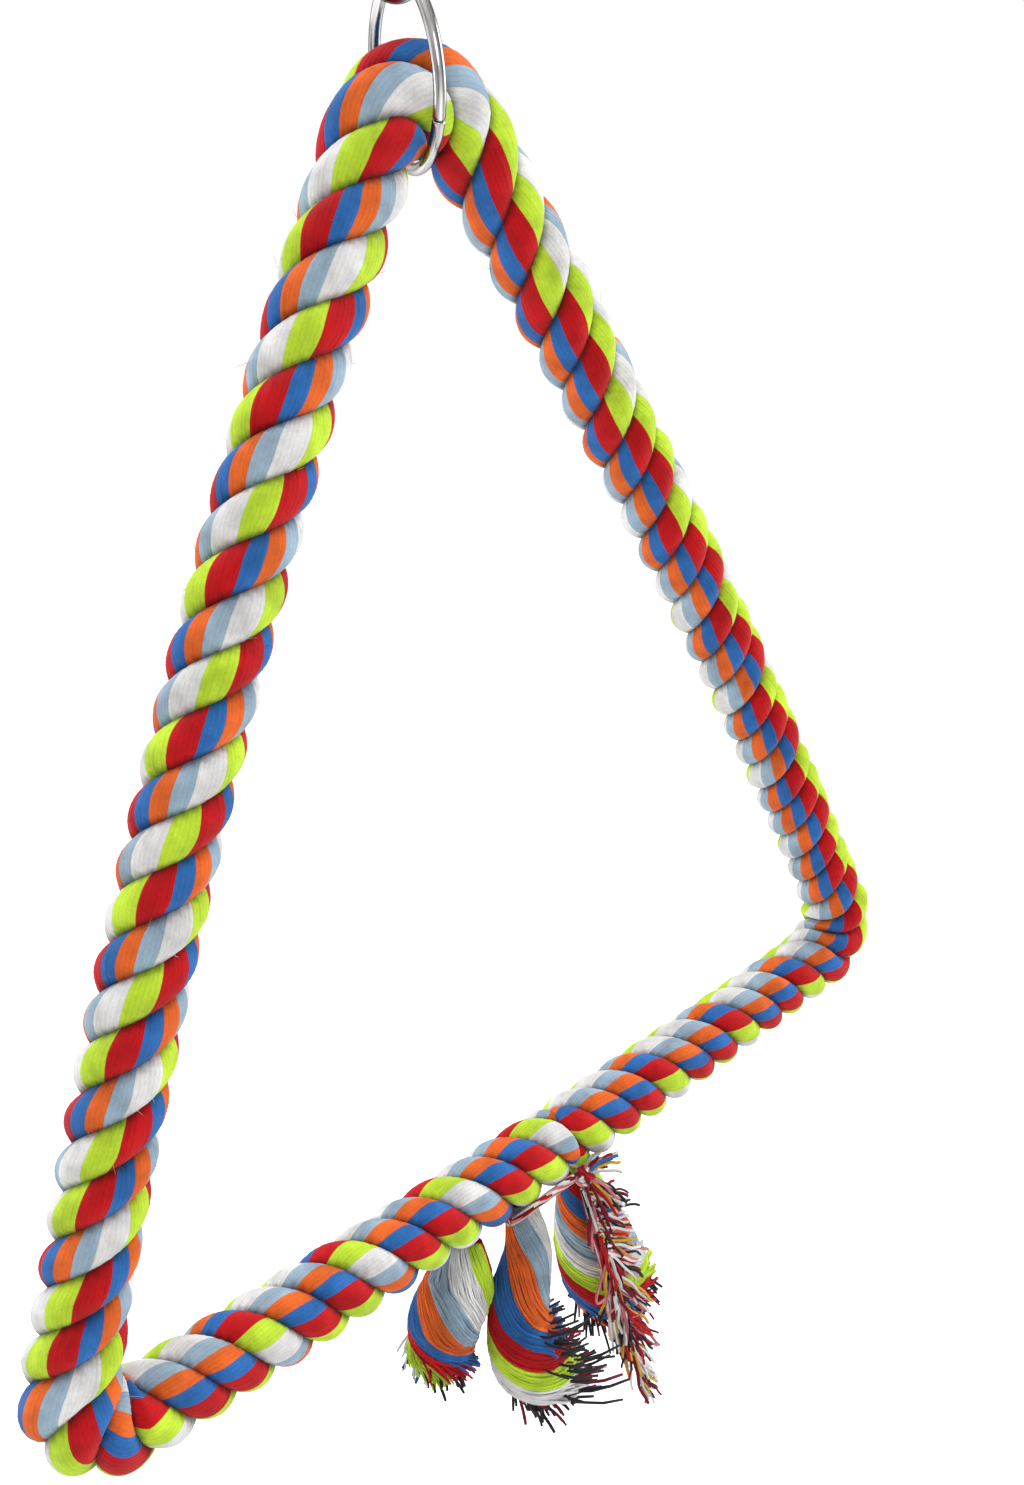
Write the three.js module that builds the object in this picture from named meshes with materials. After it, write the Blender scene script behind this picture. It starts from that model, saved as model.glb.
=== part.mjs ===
// Rope swing perch: a triangle of three-strand cotton rope laid round a bent core wire,
// hung by its apex from a wire ring, which hangs in a quick link.
// Millimetres, +Z up. The origin is the hang point, inside the top bend of the quick link.
// X runs along the perch from its left end, and -Y is the front.
import * as THREE from 'three';

// Rope. The lay's pitch is given at even steps round it, from the joint by the left bend and the apex.
const ROPE_DIAMETER = 25;
const LAY_PITCHES = [39.5, 40, 38, 39, 40.5, 45, 48.5, 46.5, 43, 38, 40.5, 40.5, 39];
const LAY_START_DEG = -16;
const STRANDS = 3;
const STRAND_CLEARANCE = 0.3;
const STRAND_STEP_DEG = 36;
const CORE_WIRE_DIAMETER = 3.5;

// Triangle, measured on the rope's centreline as if its corners were sharp
const PERCH_SPAN = 350;
const TRIANGLE_RISE = 335;
const LEFT_LEG_BOW = 11;
const RIGHT_LEG_BOW = 7;
const PERCH_SAG = 4.4;
const APEX_INSIDE_RADIUS = 5.5;
const CORNER_INSIDE_RADIUS = 4;
const APEX_OFFSET = 2.3;
const APEX_SWELL = 1.15;
const CORNER_SWELL = 1.1;
const SWELL_REACH = 34;

// Joint of the rope's two ends, on the perch
const JOINT_X = 6;
const JOINT_GAP = 1.6;
const END_ROUNDING = 9;
const END_WAIST = 0.8;

// Ring
const RING_MEAN_DIAMETER = 45;
const RING_WIRE_DIAMETER = 3.3;
const RING_YAW_DEG = 18.5;
const RING_BUTT_GAP = 0.3;
const RING_BUTT_DEG = -33;

// Quick link
const LINK_WIRE_DIAMETER = 4.5;
const LINK_INNER_WIDTH = 13.5;
const LINK_INNER_LENGTH = 38;
const LINK_GATE = 7;
const LINK_STUB = 3;
const NUT_ACROSS_FLATS = 8.6;
const NUT_LENGTH = 13;
const NUT_BEVEL = 0.6;

// Fit between pieces that touch
const SEAT_GAP = 0.3;
const NUT_BORE_GAP = 0.3;

// Strand tails: route points from the rope's underside below the joint, and at each point the tail's radius
// and the angle of its first bundle. A bundle with a stop ends at that share of the tail's length. tail_3 is
// from the rope's other end, so its colours run the other way.
const BUNDLES = ['sky', 'orange', 'blue', 'red', 'lime', 'white'];
const BUNDLE_GAP = 0.35;
const TAIL_CORE_SHARE = 0.4;
const TAIL_RINGS = 24;
const TAIL_SEAT_GAP = 0.5;
const TAILS = [
  {
    name: 'tail_1',
    route: [[-43, -1, 0], [-48, -2, -12], [-56, -1, -24], [-60, 0, -39]],
    radii: [5.2, 11.5, 12, 9.5],
    turns: [99, 58, -50, -275],
  },
  {
    name: 'tail_2',
    route: [[-20, -2, 0.5], [-23.5, -7.5, -13], [-33, -12, -24], [-35, -14.5, -42], [-27, -15, -64]],
    radii: [5.2, 8.5, 10.5, 13.5, 12.5],
    turns: [-60, -112, -200, -370, -500],
    stops: { sky: 0.67, orange: 0.71, blue: 0.75 },
  },
  {
    name: 'tail_3',
    reversed: true,
    route: [[9.5, 2, 0.6], [12, 3, -16], [16, 5, -36], [22, 7, -57], [30, 8, -78]],
    radii: [5.2, 9.5, 14, 16, 14],
    turns: [-40, -185, -335, -475, -610],
  },
];

// Tie: a thin fringed cord that lashes the tails to the joint
const TIE_BAND_WIDTH = 4.6;
const TIE_BAND_THICKNESS = 2;
const TIE_BAND_LENGTH = 23;
const TIE_BAND_DEG = [62, 31];
const TIE_BAND_TUCK = 6;
const TIE_KNOT_X = 0;
const TIE_KNOT_SIZE = [10, 8, 9];
const TIE_STEM_DIAMETER = 4;
const TIE_STEM_TIP = 7;
const TIE_STEM_LENGTH = 84;
const TIE_STEM_LEAN = [10, -4];
const TIE_STEM_ROUTE = [[0, 0, 0], [0.1, 1, 0.3], [0.6, 1.2, 0.7], [1, 1, 1]];
const TIE_TUFTS = 7;
const TIE_TUFT_START = 0.4;
const TIE_TUFT_LENGTH = 18;
const TIE_TUFT_ROOT = 2;
const TIE_TUFT_TIP = 5;
const TIE_TUFT_DROP_DEG = [30, 72];

// Facets
const WIRE_SIDES = 8;
const CORE_SIDES = 6;
const SIDE_STEPS = 60;
const BEND_STEP_DEG = 15;
const CORE_STEP = 30;
const RING_STEPS = 40;
const LINK_BEND_STEPS = 14;
const TIE_STEPS = 10;

const FRONT = new THREE.Vector3(0, -1, 0);
const rad = THREE.MathUtils.degToRad;
const { lerp } = THREE.MathUtils;

const finish = {
  white: ['#e9e2dc', 0.95, 0],
  lime: ['#a9d92a', 0.95, 0],
  red: ['#c3121c', 0.95, 0],
  blue: ['#2a6fbd', 0.95, 0],
  orange: ['#ea5c24', 0.95, 0],
  sky: ['#8fb1c8', 0.95, 0],
  core: ['#2a2428', 0.95, 0],
  tie: ['#8c2a34', 0.95, 0],
  steel: ['#b9babd', 0.22, 1],
  wire: ['#85878b', 0.5, 1],
};

function piece(name, geometry, look) {
  const [color, roughness, metalness] = finish[look];
  const mesh = new THREE.Mesh(geometry, new THREE.MeshStandardMaterial({ color, roughness, metalness }));
  mesh.name = name;
  return mesh;
}

// A value out of a list given at even steps, at a share of the way along
function evenly(values, share) {
  const place = share * (values.length - 1);
  const from = Math.min(Math.floor(place), values.length - 2);
  return lerp(values[from], values[from + 1], place - from);
}

// A closed solid through rings of points, each ring counterclockwise about the direction of travel.
// The faces that start at a crossed point of the ring are split along their other diagonal.
function sweep(rings, crossed = []) {
  const sides = rings[0].length;
  const positions = rings.flat().flatMap((p) => [p.x, p.y, p.z]);
  const index = [];
  for (let i = 0; i + 1 < rings.length; i += 1) {
    for (let j = 0; j < sides; j += 1) {
      const here = i * sides + j;
      const beside = i * sides + ((j + 1) % sides);
      if (crossed.includes(j)) {
        index.push(here, beside, here + sides, beside, beside + sides, here + sides);
      } else {
        index.push(here, beside, beside + sides, here, beside + sides, here + sides);
      }
    }
  }
  const last = (rings.length - 1) * sides;
  for (let j = 1; j + 1 < sides; j += 1) {
    index.push(0, j + 1, j);
    index.push(last, last + j, last + j + 1);
  }
  const geometry = new THREE.BufferGeometry();
  geometry.setAttribute('position', new THREE.Float32BufferAttribute(positions, 3));
  geometry.setIndex(index);
  geometry.computeVertexNormals();
  return geometry;
}

// A ring of points for a section given in the (across, up) axes of a station
function placeSection(station, section) {
  return section.map(([a, b]) => station.at.clone().addScaledVector(station.across, a)
    .addScaledVector(station.up, b));
}

function roundSection(width, height, sides) {
  const points = [];
  for (let j = 0; j < sides; j += 1) {
    const angle = (2 * Math.PI * (j + 0.5)) / sides;
    points.push([(width / 2) * Math.cos(angle), (height / 2) * Math.sin(angle)]);
  }
  return points;
}

// Stations along a space curve, with axes that do not spin about it
function stationsAlong(curve, count) {
  const frames = curve.computeFrenetFrames(count, false);
  return Array.from({ length: count + 1 }, (_, i) => ({
    at: curve.getPointAt(i / count),
    across: frames.normals[i],
    up: frames.binormals[i],
  }));
}

// Centreline of the rope, in the plane y = 0, from the joint to the left, up, over the apex and back
function bowedSide(from, to, bow) {
  const outward = to.clone().sub(from).normalize();
  outward.set(-outward.y, outward.x);
  return Array.from({ length: SIDE_STEPS + 1 }, (_, i) => {
    const t = i / SIDE_STEPS;
    return from.clone().lerp(to, t).addScaledVector(outward, 4 * t * (1 - t) * bow);
  });
}

function nearest(side, point) {
  const distances = side.map((p) => p.distanceTo(point));
  const index = distances.indexOf(Math.min(...distances));
  return { index, distance: distances[index] };
}

// The bend's centre lies on the corner's bisector, one radius from both sides
function roundCorner(before, after, radius) {
  const corner = after[0];
  const inward = before.at(-2).clone().sub(corner).normalize();
  inward.add(after[1].clone().sub(corner).normalize()).normalize();
  let low = radius;
  let high = PERCH_SPAN / 2;
  const centre = new THREE.Vector2();
  while (high - low > 1e-3) {
    const reach = (low + high) / 2;
    centre.copy(corner).addScaledVector(inward, reach);
    const mean = (nearest(before, centre).distance + nearest(after, centre).distance) / 2;
    if (mean < radius) low = reach;
    else high = reach;
  }
  const leave = nearest(before, centre).index;
  const join = nearest(after, centre).index;
  const start = before[leave].clone().sub(centre).angle();
  let sweepAngle = after[join].clone().sub(centre).angle() - start;
  if (sweepAngle > 0) sweepAngle -= 2 * Math.PI;
  const count = Math.ceil(-sweepAngle / rad(6));
  const arc = Array.from({ length: count - 1 }, (_, i) => {
    const angle = start + (sweepAngle * (i + 1)) / count;
    return centre.clone().add(new THREE.Vector2(Math.cos(angle), Math.sin(angle)).multiplyScalar(radius));
  });
  return { leave, join, arc };
}

function buildLoop() {
  const apex = new THREE.Vector2(0, 0);
  const left = new THREE.Vector2(-PERCH_SPAN / 2, -TRIANGLE_RISE);
  const right = new THREE.Vector2(PERCH_SPAN / 2, -TRIANGLE_RISE);
  const perch = bowedSide(right, left, PERCH_SAG);
  const leftLeg = bowedSide(left, apex, LEFT_LEG_BOW);
  const rightLeg = bowedSide(apex, right, RIGHT_LEG_BOW);
  const cornerRadius = ROPE_DIAMETER / 2 + CORNER_INSIDE_RADIUS;
  const leftBend = roundCorner(perch, leftLeg, cornerRadius);
  const apexBend = roundCorner(leftLeg, rightLeg, ROPE_DIAMETER / 2 + APEX_INSIDE_RADIUS);
  const rightBend = roundCorner(rightLeg, perch, cornerRadius);
  const along = (JOINT_X + PERCH_SPAN / 2) / PERCH_SPAN;
  const sag = 4 * along * (1 - along) * PERCH_SAG;
  const joint = new THREE.Vector2(JOINT_X, -TRIANGLE_RISE - sag);
  const points = [
    joint,
    ...perch.slice(0, leftBend.leave + 1).filter((p) => p.x < JOINT_X - 1),
    ...leftBend.arc,
    ...leftLeg.slice(leftBend.join, apexBend.leave + 1),
    ...apexBend.arc,
    ...rightLeg.slice(apexBend.join, rightBend.leave + 1),
    ...rightBend.arc,
    ...perch.slice(rightBend.join).filter((p) => p.x > JOINT_X + 1),
    joint.clone(),
  ];
  const curve = new THREE.SplineCurve(points);
  curve.arcLengthDivisions = 3000;
  const [leftTurn, apexTop, rightTurn] = [leftBend, apexBend, rightBend]
    .map(({ arc }) => arc[Math.floor(arc.length / 2)]);
  return { curve, apexTop, leftTurn, rightTurn };
}

const loop = buildLoop();
const ropeLength = loop.curve.getLength();

function ropeStation(s) {
  const point = loop.curve.getPointAt(s / ropeLength);
  const tangent = loop.curve.getTangentAt(s / ropeLength);
  return {
    at: new THREE.Vector3(point.x, 0, point.y),
    across: new THREE.Vector3(-tangent.y, 0, tangent.x),
    up: FRONT,
    tangent,
  };
}

// The rope's girth, as a share of its diameter: fuller in the bends, drawn in at its two ends
function girthAt(s, point) {
  const bump = (centre, most) => {
    const far = Math.min(1, point.distanceTo(centre) / SWELL_REACH);
    return 1 + (most - 1) * 0.5 * (1 + Math.cos(Math.PI * far));
  };
  const fromEnd = Math.min(s, ropeLength - s);
  const inset = Math.max(0, 1 - fromEnd / END_ROUNDING);
  const drawn = lerp(END_WAIST, 1, Math.sqrt(1 - inset * inset));
  const swell = bump(loop.apexTop, APEX_SWELL) * bump(loop.leftTurn, CORNER_SWELL)
    * bump(loop.rightTurn, CORNER_SWELL);
  return drawn * swell;
}

// Stations one step of lay apart, from just past the joint to just short of it
function layStations() {
  const stations = [];
  const stride = 0.25;
  let turn = rad(LAY_START_DEG);
  let due = turn;
  for (let s = 0; s <= ropeLength - JOINT_GAP / 2; s += stride) {
    const point = loop.curve.getPointAt(s / ropeLength);
    const isEnd = s + stride > ropeLength - JOINT_GAP / 2;
    if (s >= JOINT_GAP / 2 && (turn >= due || isEnd)) {
      stations.push({ ...ropeStation(s), turn, girth: girthAt(s, point) });
      due = turn + rad(STRAND_STEP_DEG);
    }
    turn += (2 * Math.PI * stride) / evenly(LAY_PITCHES, s / ropeLength);
  }
  return stations;
}

// Where the normal plane of the rope cuts a strand of that radius, at angle phi round the strand
function strandPoint(radius, phi) {
  const orbit = ROPE_DIAMETER / 2 - radius;
  const lead = LAY_PITCHES[0] / (2 * Math.PI);
  const slant = Math.hypot(orbit, lead);
  const turn = (-radius * Math.sin(phi) * orbit) / (lead * slant);
  const tilt = (Math.sin(phi) * lead) / slant;
  return [
    orbit * Math.cos(turn) + radius * (-Math.cos(phi) * Math.cos(turn) + tilt * Math.sin(turn)),
    orbit * Math.sin(turn) + radius * (-Math.cos(phi) * Math.sin(turn) - tilt * Math.cos(turn)),
  ];
}

// The angle phi at which a strand reaches furthest round the rope, where it meets its neighbour
function meetingPhi(radius) {
  let best = 0;
  let widest = 0;
  for (let phi = 0; phi < Math.PI; phi += 0.01) {
    const [x, y] = strandPoint(radius, phi);
    const reach = Math.abs(Math.atan2(y, x));
    if (reach > widest) {
      widest = reach;
      best = phi;
    }
  }
  return { phi: best, reach: widest };
}

// The strands' radius is the largest at which they do not cross
function strandSection() {
  let low = ROPE_DIAMETER * 0.1;
  let high = ROPE_DIAMETER * 0.25;
  while (high - low > 1e-4) {
    const trial = (low + high) / 2;
    if (meetingPhi(trial).reach < Math.PI / STRANDS) low = trial;
    else high = trial;
  }
  const radius = low - STRAND_CLEARANCE / 2;
  const { phi } = meetingPhi(radius);
  const shoulder = (phi + Math.PI) / 2;
  return [0, phi, shoulder, Math.PI, -shoulder, -phi].map((angle) => strandPoint(radius, angle));
}

function strand(number, stations, section) {
  const rings = stations.map((station) => {
    const turn = station.turn + (2 * Math.PI * number) / STRANDS;
    const turned = section.map(([a, b]) => [
      station.girth * (a * Math.cos(turn) - b * Math.sin(turn)),
      station.girth * (a * Math.sin(turn) + b * Math.cos(turn)),
    ]);
    return placeSection(station, turned);
  });
  return piece(`rope_strand_${number + 1}`, sweep(rings), ['lime', 'blue', 'orange'][number]);
}

function coreWire() {
  const section = roundSection(CORE_WIRE_DIAMETER, CORE_WIRE_DIAMETER, CORE_SIDES);
  const rings = [];
  let last = null;
  for (let s = JOINT_GAP / 2; s <= ropeLength - JOINT_GAP / 2; s += 1) {
    const station = ropeStation(s);
    const isEnd = s + 1 > ropeLength - JOINT_GAP / 2;
    const turned = last && Math.acos(Math.min(1, station.tangent.dot(last.tangent))) > rad(BEND_STEP_DEG);
    if (!last || turned || s - last.s >= CORE_STEP || isEnd) {
      rings.push(placeSection(station, section));
      last = { s, tangent: station.tangent };
    }
  }
  return piece('core_wire', sweep(rings), 'wire');
}

// The ring stands in the plane through Z at RING_YAW_DEG from YZ
const ringAlong = new THREE.Vector3(-Math.sin(rad(RING_YAW_DEG)), -Math.cos(rad(RING_YAW_DEG)), 0);
const ringAxis = new THREE.Vector3(Math.cos(rad(RING_YAW_DEG)), -Math.sin(rad(RING_YAW_DEG)), 0);

function ring() {
  const radius = RING_MEAN_DIAMETER / 2;
  const half = (RING_BUTT_GAP / 2) / radius;
  const section = roundSection(RING_WIRE_DIAMETER, RING_WIRE_DIAMETER, WIRE_SIDES);
  const rings = Array.from({ length: RING_STEPS + 1 }, (_, i) => {
    const angle = rad(RING_BUTT_DEG) + half + ((2 * Math.PI - 2 * half) * i) / RING_STEPS;
    const outward = ringAlong.clone().multiplyScalar(Math.cos(angle));
    outward.z = Math.sin(angle);
    return placeSection({
      at: outward.clone().multiplyScalar(radius),
      across: outward,
      up: ringAxis,
    }, section);
  });
  return piece('ring', sweep(rings), 'steel');
}

// Height of the ring's centre at which its wire just clears the inside of the rope's apex bend
function ringSeat(strands) {
  const clear = RING_WIRE_DIAMETER / 2 + SEAT_GAP;
  const radius = RING_MEAN_DIAMETER / 2;
  const shares = [0, 0.25, 0.5, 0.75, 1];
  const corner = [new THREE.Vector3(), new THREE.Vector3(), new THREE.Vector3()];
  const point = new THREE.Vector3();
  let seat = Infinity;
  for (const mesh of strands) {
    const { position } = mesh.geometry.attributes;
    const index = mesh.geometry.index.array;
    for (let i = 0; i < index.length; i += 3) {
      corner.forEach((c, k) => c.fromBufferAttribute(position, index[i + k]));
      if (corner[0].z < loop.apexTop.y - 2 * ROPE_DIAMETER) continue;
      for (const a of shares) {
        for (const b of shares.filter((share) => a + share <= 1)) {
          point.copy(corner[0]).multiplyScalar(1 - a - b);
          point.addScaledVector(corner[1], a).addScaledVector(corner[2], b);
          point.x += APEX_OFFSET;
          const beside = point.dot(ringAxis);
          const along = point.dot(ringAlong);
          if (Math.abs(beside) >= clear) continue;
          const reach = radius - Math.sqrt(clear * clear - beside * beside);
          if (Math.abs(along) < reach) {
            seat = Math.min(seat, point.z + Math.sqrt(reach * reach - along * along));
          }
        }
      }
    }
  }
  return seat;
}

// Quick link: an oval of wire, open in its right side, where the nut closes it
const linkSide = (LINK_INNER_WIDTH + LINK_WIRE_DIAMETER) / 2;
const linkTop = LINK_WIRE_DIAMETER / 2 - linkSide;
const linkBottom = -LINK_INNER_LENGTH - LINK_WIRE_DIAMETER / 2 + linkSide;
const stubTop = linkBottom + LINK_STUB;
const gateTop = stubTop + LINK_GATE;

function quickLink() {
  const path = [];
  const place = (height, angle) => path.push({
    at: new THREE.Vector3(linkSide * Math.cos(angle), 0, height),
    across: new THREE.Vector3(Math.cos(angle), 0, Math.sin(angle)),
    up: FRONT,
  });
  const bend = (centre, from) => {
    for (let i = 0; i <= LINK_BEND_STEPS; i += 1) {
      const angle = from - (Math.PI * i) / LINK_BEND_STEPS;
      place(centre + linkSide * Math.sin(angle), angle);
    }
  };
  place(stubTop, 0);
  bend(linkBottom, 0);
  bend(linkTop, Math.PI);
  place(gateTop, 0);
  const section = roundSection(LINK_WIRE_DIAMETER, LINK_WIRE_DIAMETER, WIRE_SIDES);
  return piece('quick_link', sweep(path.map((station) => placeSection(station, section))), 'steel');
}

function quickLinkNut() {
  const hexagon = new THREE.Shape();
  const corner = NUT_ACROSS_FLATS / Math.sqrt(3) - NUT_BEVEL;
  for (let i = 0; i < 6; i += 1) {
    const angle = (Math.PI * i) / 3;
    const draw = i === 0 ? 'moveTo' : 'lineTo';
    hexagon[draw](corner * Math.cos(angle), corner * Math.sin(angle));
  }
  hexagon.closePath();
  const bore = new THREE.Path();
  bore.absarc(0, 0, LINK_WIRE_DIAMETER / 2 + NUT_BORE_GAP + NUT_BEVEL, 0, 2 * Math.PI, true);
  hexagon.holes.push(bore);
  const geometry = new THREE.ExtrudeGeometry(hexagon, {
    depth: NUT_LENGTH - 2 * NUT_BEVEL,
    bevelThickness: NUT_BEVEL,
    bevelSize: NUT_BEVEL,
    bevelSegments: 1,
    curveSegments: 12,
  });
  const nut = piece('quick_link_nut', geometry, 'steel');
  nut.position.set(linkSide, 0, linkBottom + NUT_BEVEL);
  return nut;
}

// One strand tail: six coloured yarn bundles round a dark core bundle, on one flared and bent route
function tail({ name, reversed, route, radii, turns, stops = {} }) {
  const curve = new THREE.CatmullRomCurve3(route.map((p) => new THREE.Vector3(...p)));
  const stations = stationsAlong(curve, TAIL_RINGS);
  const colours = reversed ? BUNDLES.toReversed() : BUNDLES;
  const OUTER_NEXT = 3;
  const bundles = colours.map((colour, k) => {
    const last = Math.round(TAIL_RINGS * (stops[colour] ?? 1));
    const rings = stations.slice(0, last + 1).map((station, i) => {
      const outer = evenly(radii, i / TAIL_RINGS);
      const inner = outer * TAIL_CORE_SHARE;
      const first = rad(evenly(turns, i / TAIL_RINGS)) + (2 * Math.PI * k) / BUNDLES.length;
      const next = first + (2 * Math.PI) / BUNDLES.length;
      const middle = (first + next) / 2;
      const spot = (radius, angle, shift) => [
        radius * Math.cos(angle) - shift * Math.sin(angle),
        radius * Math.sin(angle) + shift * Math.cos(angle),
      ];
      return placeSection(station, [
        spot(inner, first, BUNDLE_GAP / 2),
        spot(outer, first, BUNDLE_GAP / 2),
        spot(outer, middle, 0),
        spot(outer, next, -BUNDLE_GAP / 2),
        spot(inner, next, -BUNDLE_GAP / 2),
      ]);
    });
    return piece(`${name}_${colour}`, sweep(rings, [OUTER_NEXT]), colour);
  });
  const coreRings = stations.map((station, i) => {
    const drawnIn = Math.cos(Math.PI / BUNDLES.length) ** 2;
    const width = 2 * (evenly(radii, i / TAIL_RINGS) * TAIL_CORE_SHARE * drawnIn - BUNDLE_GAP);
    return placeSection(station, roundSection(width, width, CORE_SIDES));
  });
  return [...bundles, piece(`${name}_core`, sweep(coreRings), 'core')];
}

// A tapering round solid along a curve
function taper(curve, steps, rootWidth, tipWidth, sides) {
  const rings = stationsAlong(curve, steps).map((station, i) => {
    const width = lerp(rootWidth, tipWidth, i / steps);
    return placeSection(station, roundSection(width, width, sides));
  });
  return sweep(rings);
}

// The tie's band lies on the rope from below to the knot in front, and its fringed end hangs from the knot
function tie(perchLine) {
  const halfRope = ROPE_DIAMETER / 2;
  const [bandStart, knotAngle] = TIE_BAND_DEG.map(rad);
  const outward = (angle) => new THREE.Vector3(0, -Math.cos(angle), -Math.sin(angle));
  const knotHalf = Math.max(...TIE_KNOT_SIZE) / 2;
  const knot = outward(knotAngle).multiplyScalar(halfRope * END_WAIST + knotHalf + SEAT_GAP);
  knot.add(new THREE.Vector3(JOINT_X + TIE_KNOT_X, 0, perchLine));
  const bandEnd = knot.x - TIE_KNOT_SIZE[0] / 2 - SEAT_GAP;
  const bandRings = Array.from({ length: TIE_STEPS + 1 }, (_, i) => {
    const share = i / TIE_STEPS;
    const up = outward(lerp(knotAngle, bandStart, (1 - share) ** TIE_BAND_TUCK));
    const at = up.clone().multiplyScalar(halfRope + TIE_BAND_THICKNESS / 2 + SEAT_GAP);
    at.add(new THREE.Vector3(bandEnd - TIE_BAND_LENGTH * (1 - share), 0, perchLine));
    const across = up.clone().cross(new THREE.Vector3(1, 0, 0));
    return placeSection({ at, across, up }, roundSection(TIE_BAND_WIDTH, TIE_BAND_THICKNESS, WIRE_SIDES));
  });
  const ball = new THREE.IcosahedronGeometry(0.5, 2).scale(...TIE_KNOT_SIZE).translate(...knot.toArray());

  const stemTop = knot.clone();
  stemTop.z -= TIE_KNOT_SIZE[2] / 2 + SEAT_GAP;
  const [leanX, leanY] = TIE_STEM_LEAN;
  const stemPoints = TIE_STEM_ROUTE.map(([x, y, z]) => (
    stemTop.clone().add(new THREE.Vector3(x * leanX, y * leanY, -z * TIE_STEM_LENGTH))
  ));
  const stemRoute = new THREE.CatmullRomCurve3(stemPoints);
  const tufts = Array.from({ length: TIE_TUFTS }, (_, i) => {
    const share = (i + TIE_TUFT_START) / TIE_TUFTS;
    const drop = rad(lerp(...TIE_TUFT_DROP_DEG, share));
    const heading = new THREE.Vector3(Math.cos(drop), 0, -Math.sin(drop));
    const stemHalf = lerp(TIE_STEM_DIAMETER, TIE_STEM_TIP, share) / 2;
    const root = stemRoute.getPointAt(share);
    root.x += stemHalf + SEAT_GAP + (TIE_TUFT_ROOT / 2) * Math.sin(drop);
    const end = root.clone().addScaledVector(heading, TIE_TUFT_LENGTH);
    const body = taper(new THREE.LineCurve3(root, end), 1, TIE_TUFT_ROOT, TIE_TUFT_TIP, CORE_SIDES);
    return piece(`tie_tuft_${i + 1}`, body, 'tie');
  });
  return [
    piece('tie_band', sweep(bandRings), 'tie'),
    piece('tie_knot', ball, 'tie'),
    piece('tie_stem', taper(stemRoute, TIE_STEPS, TIE_STEM_DIAMETER, TIE_STEM_TIP, WIRE_SIDES), 'tie'),
    ...tufts,
  ];
}

const strandStations = layStations();
const section = strandSection();
const strands = Array.from({ length: STRANDS }, (_, number) => strand(number, strandStations, section));

const ringHeight = -LINK_INNER_LENGTH + SEAT_GAP + RING_WIRE_DIAMETER / 2 - RING_MEAN_DIAMETER / 2;
const perch = new THREE.Group();
perch.position.set(APEX_OFFSET, 0, ringHeight - ringSeat(strands));
perch.add(coreWire(), ...strands);

const perchLine = -TRIANGLE_RISE - PERCH_SAG;
const tails = new THREE.Group();
tails.position.set(JOINT_X, 0, perchLine - ROPE_DIAMETER / 2 - TAIL_SEAT_GAP);
TAILS.forEach((spec) => tails.add(...tail(spec)));
perch.add(tails, ...tie(perchLine));

const hangRing = ring();
hangRing.position.z = ringHeight;

const part = new THREE.Group();
part.add(quickLink(), quickLinkNut(), hangRing, perch);

export default part;
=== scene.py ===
# Looks of the rope swing perch: cotton rope, strand tails, tie, ring and quick link.
# Lengths in the mesh code are millimetres in the part's own frame; objects are in metres.
import math

import bpy
import numpy as np
from mathutils import Matrix, Vector

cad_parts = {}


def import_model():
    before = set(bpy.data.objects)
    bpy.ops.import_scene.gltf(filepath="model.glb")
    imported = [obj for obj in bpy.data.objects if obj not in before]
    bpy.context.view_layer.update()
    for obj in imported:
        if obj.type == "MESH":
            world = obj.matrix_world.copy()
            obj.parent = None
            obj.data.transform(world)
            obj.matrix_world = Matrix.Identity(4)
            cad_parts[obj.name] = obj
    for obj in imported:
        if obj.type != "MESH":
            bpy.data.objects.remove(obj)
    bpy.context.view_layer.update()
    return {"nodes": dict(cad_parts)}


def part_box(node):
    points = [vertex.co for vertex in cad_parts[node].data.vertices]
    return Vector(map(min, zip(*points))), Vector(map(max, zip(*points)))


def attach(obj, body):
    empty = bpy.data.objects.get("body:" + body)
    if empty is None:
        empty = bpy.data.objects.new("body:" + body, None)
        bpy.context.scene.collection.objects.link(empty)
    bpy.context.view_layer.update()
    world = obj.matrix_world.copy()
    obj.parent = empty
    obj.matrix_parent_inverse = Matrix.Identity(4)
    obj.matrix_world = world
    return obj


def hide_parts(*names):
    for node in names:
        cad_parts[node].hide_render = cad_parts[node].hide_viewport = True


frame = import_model()

MM = 0.001
SEED = 7

# Rope, as in the part
ROPE_DIAMETER = 25.0
LAY_PITCHES = (39.5, 40, 38, 39, 40.5, 45, 48.5, 46.5, 43, 38, 40.5, 40.5, 39)
LAY_START = math.radians(-16)
STRANDS = 3
PERCH_SPAN = 350.0
TRIANGLE_RISE = 335.0
LEFT_LEG_BOW = 11.0
RIGHT_LEG_BOW = 7.0
PERCH_SAG = 4.4
APEX_BEND = 18.0
CORNER_BEND = 16.5
APEX_OFFSET = 2.3
APEX_SWELL = 1.15
CORNER_SWELL = 1.1
SWELL_REACH = 34.0
JOINT_X = 6.0
END_ROUNDING = 9.0
END_WAIST = 0.8
CORE_WIRE_DIAMETER = 3.5
SIDE_POINTS = 61
BEND_STEP = math.radians(6)
LAY_STEP = 0.25

# Strands and their yarns
STRAND_RADIUS = 5.65
RING_STEP = 1.6
YARN_COLUMNS = 4
YARN_SHAPE = (0.0, 0.75, 1.0, 0.75)
YARN_RELIEF = 0.05
YARN_CROWDING = 0.98
YARN_WIDTH = 1.15
BANDS = (("white", 6), ("lime", 6), ("red", 6), ("blue", 4), ("orange", 4), ("sky", 4))
FIRST_YARN = -36.0
YARN_LAY = 2.0

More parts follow.
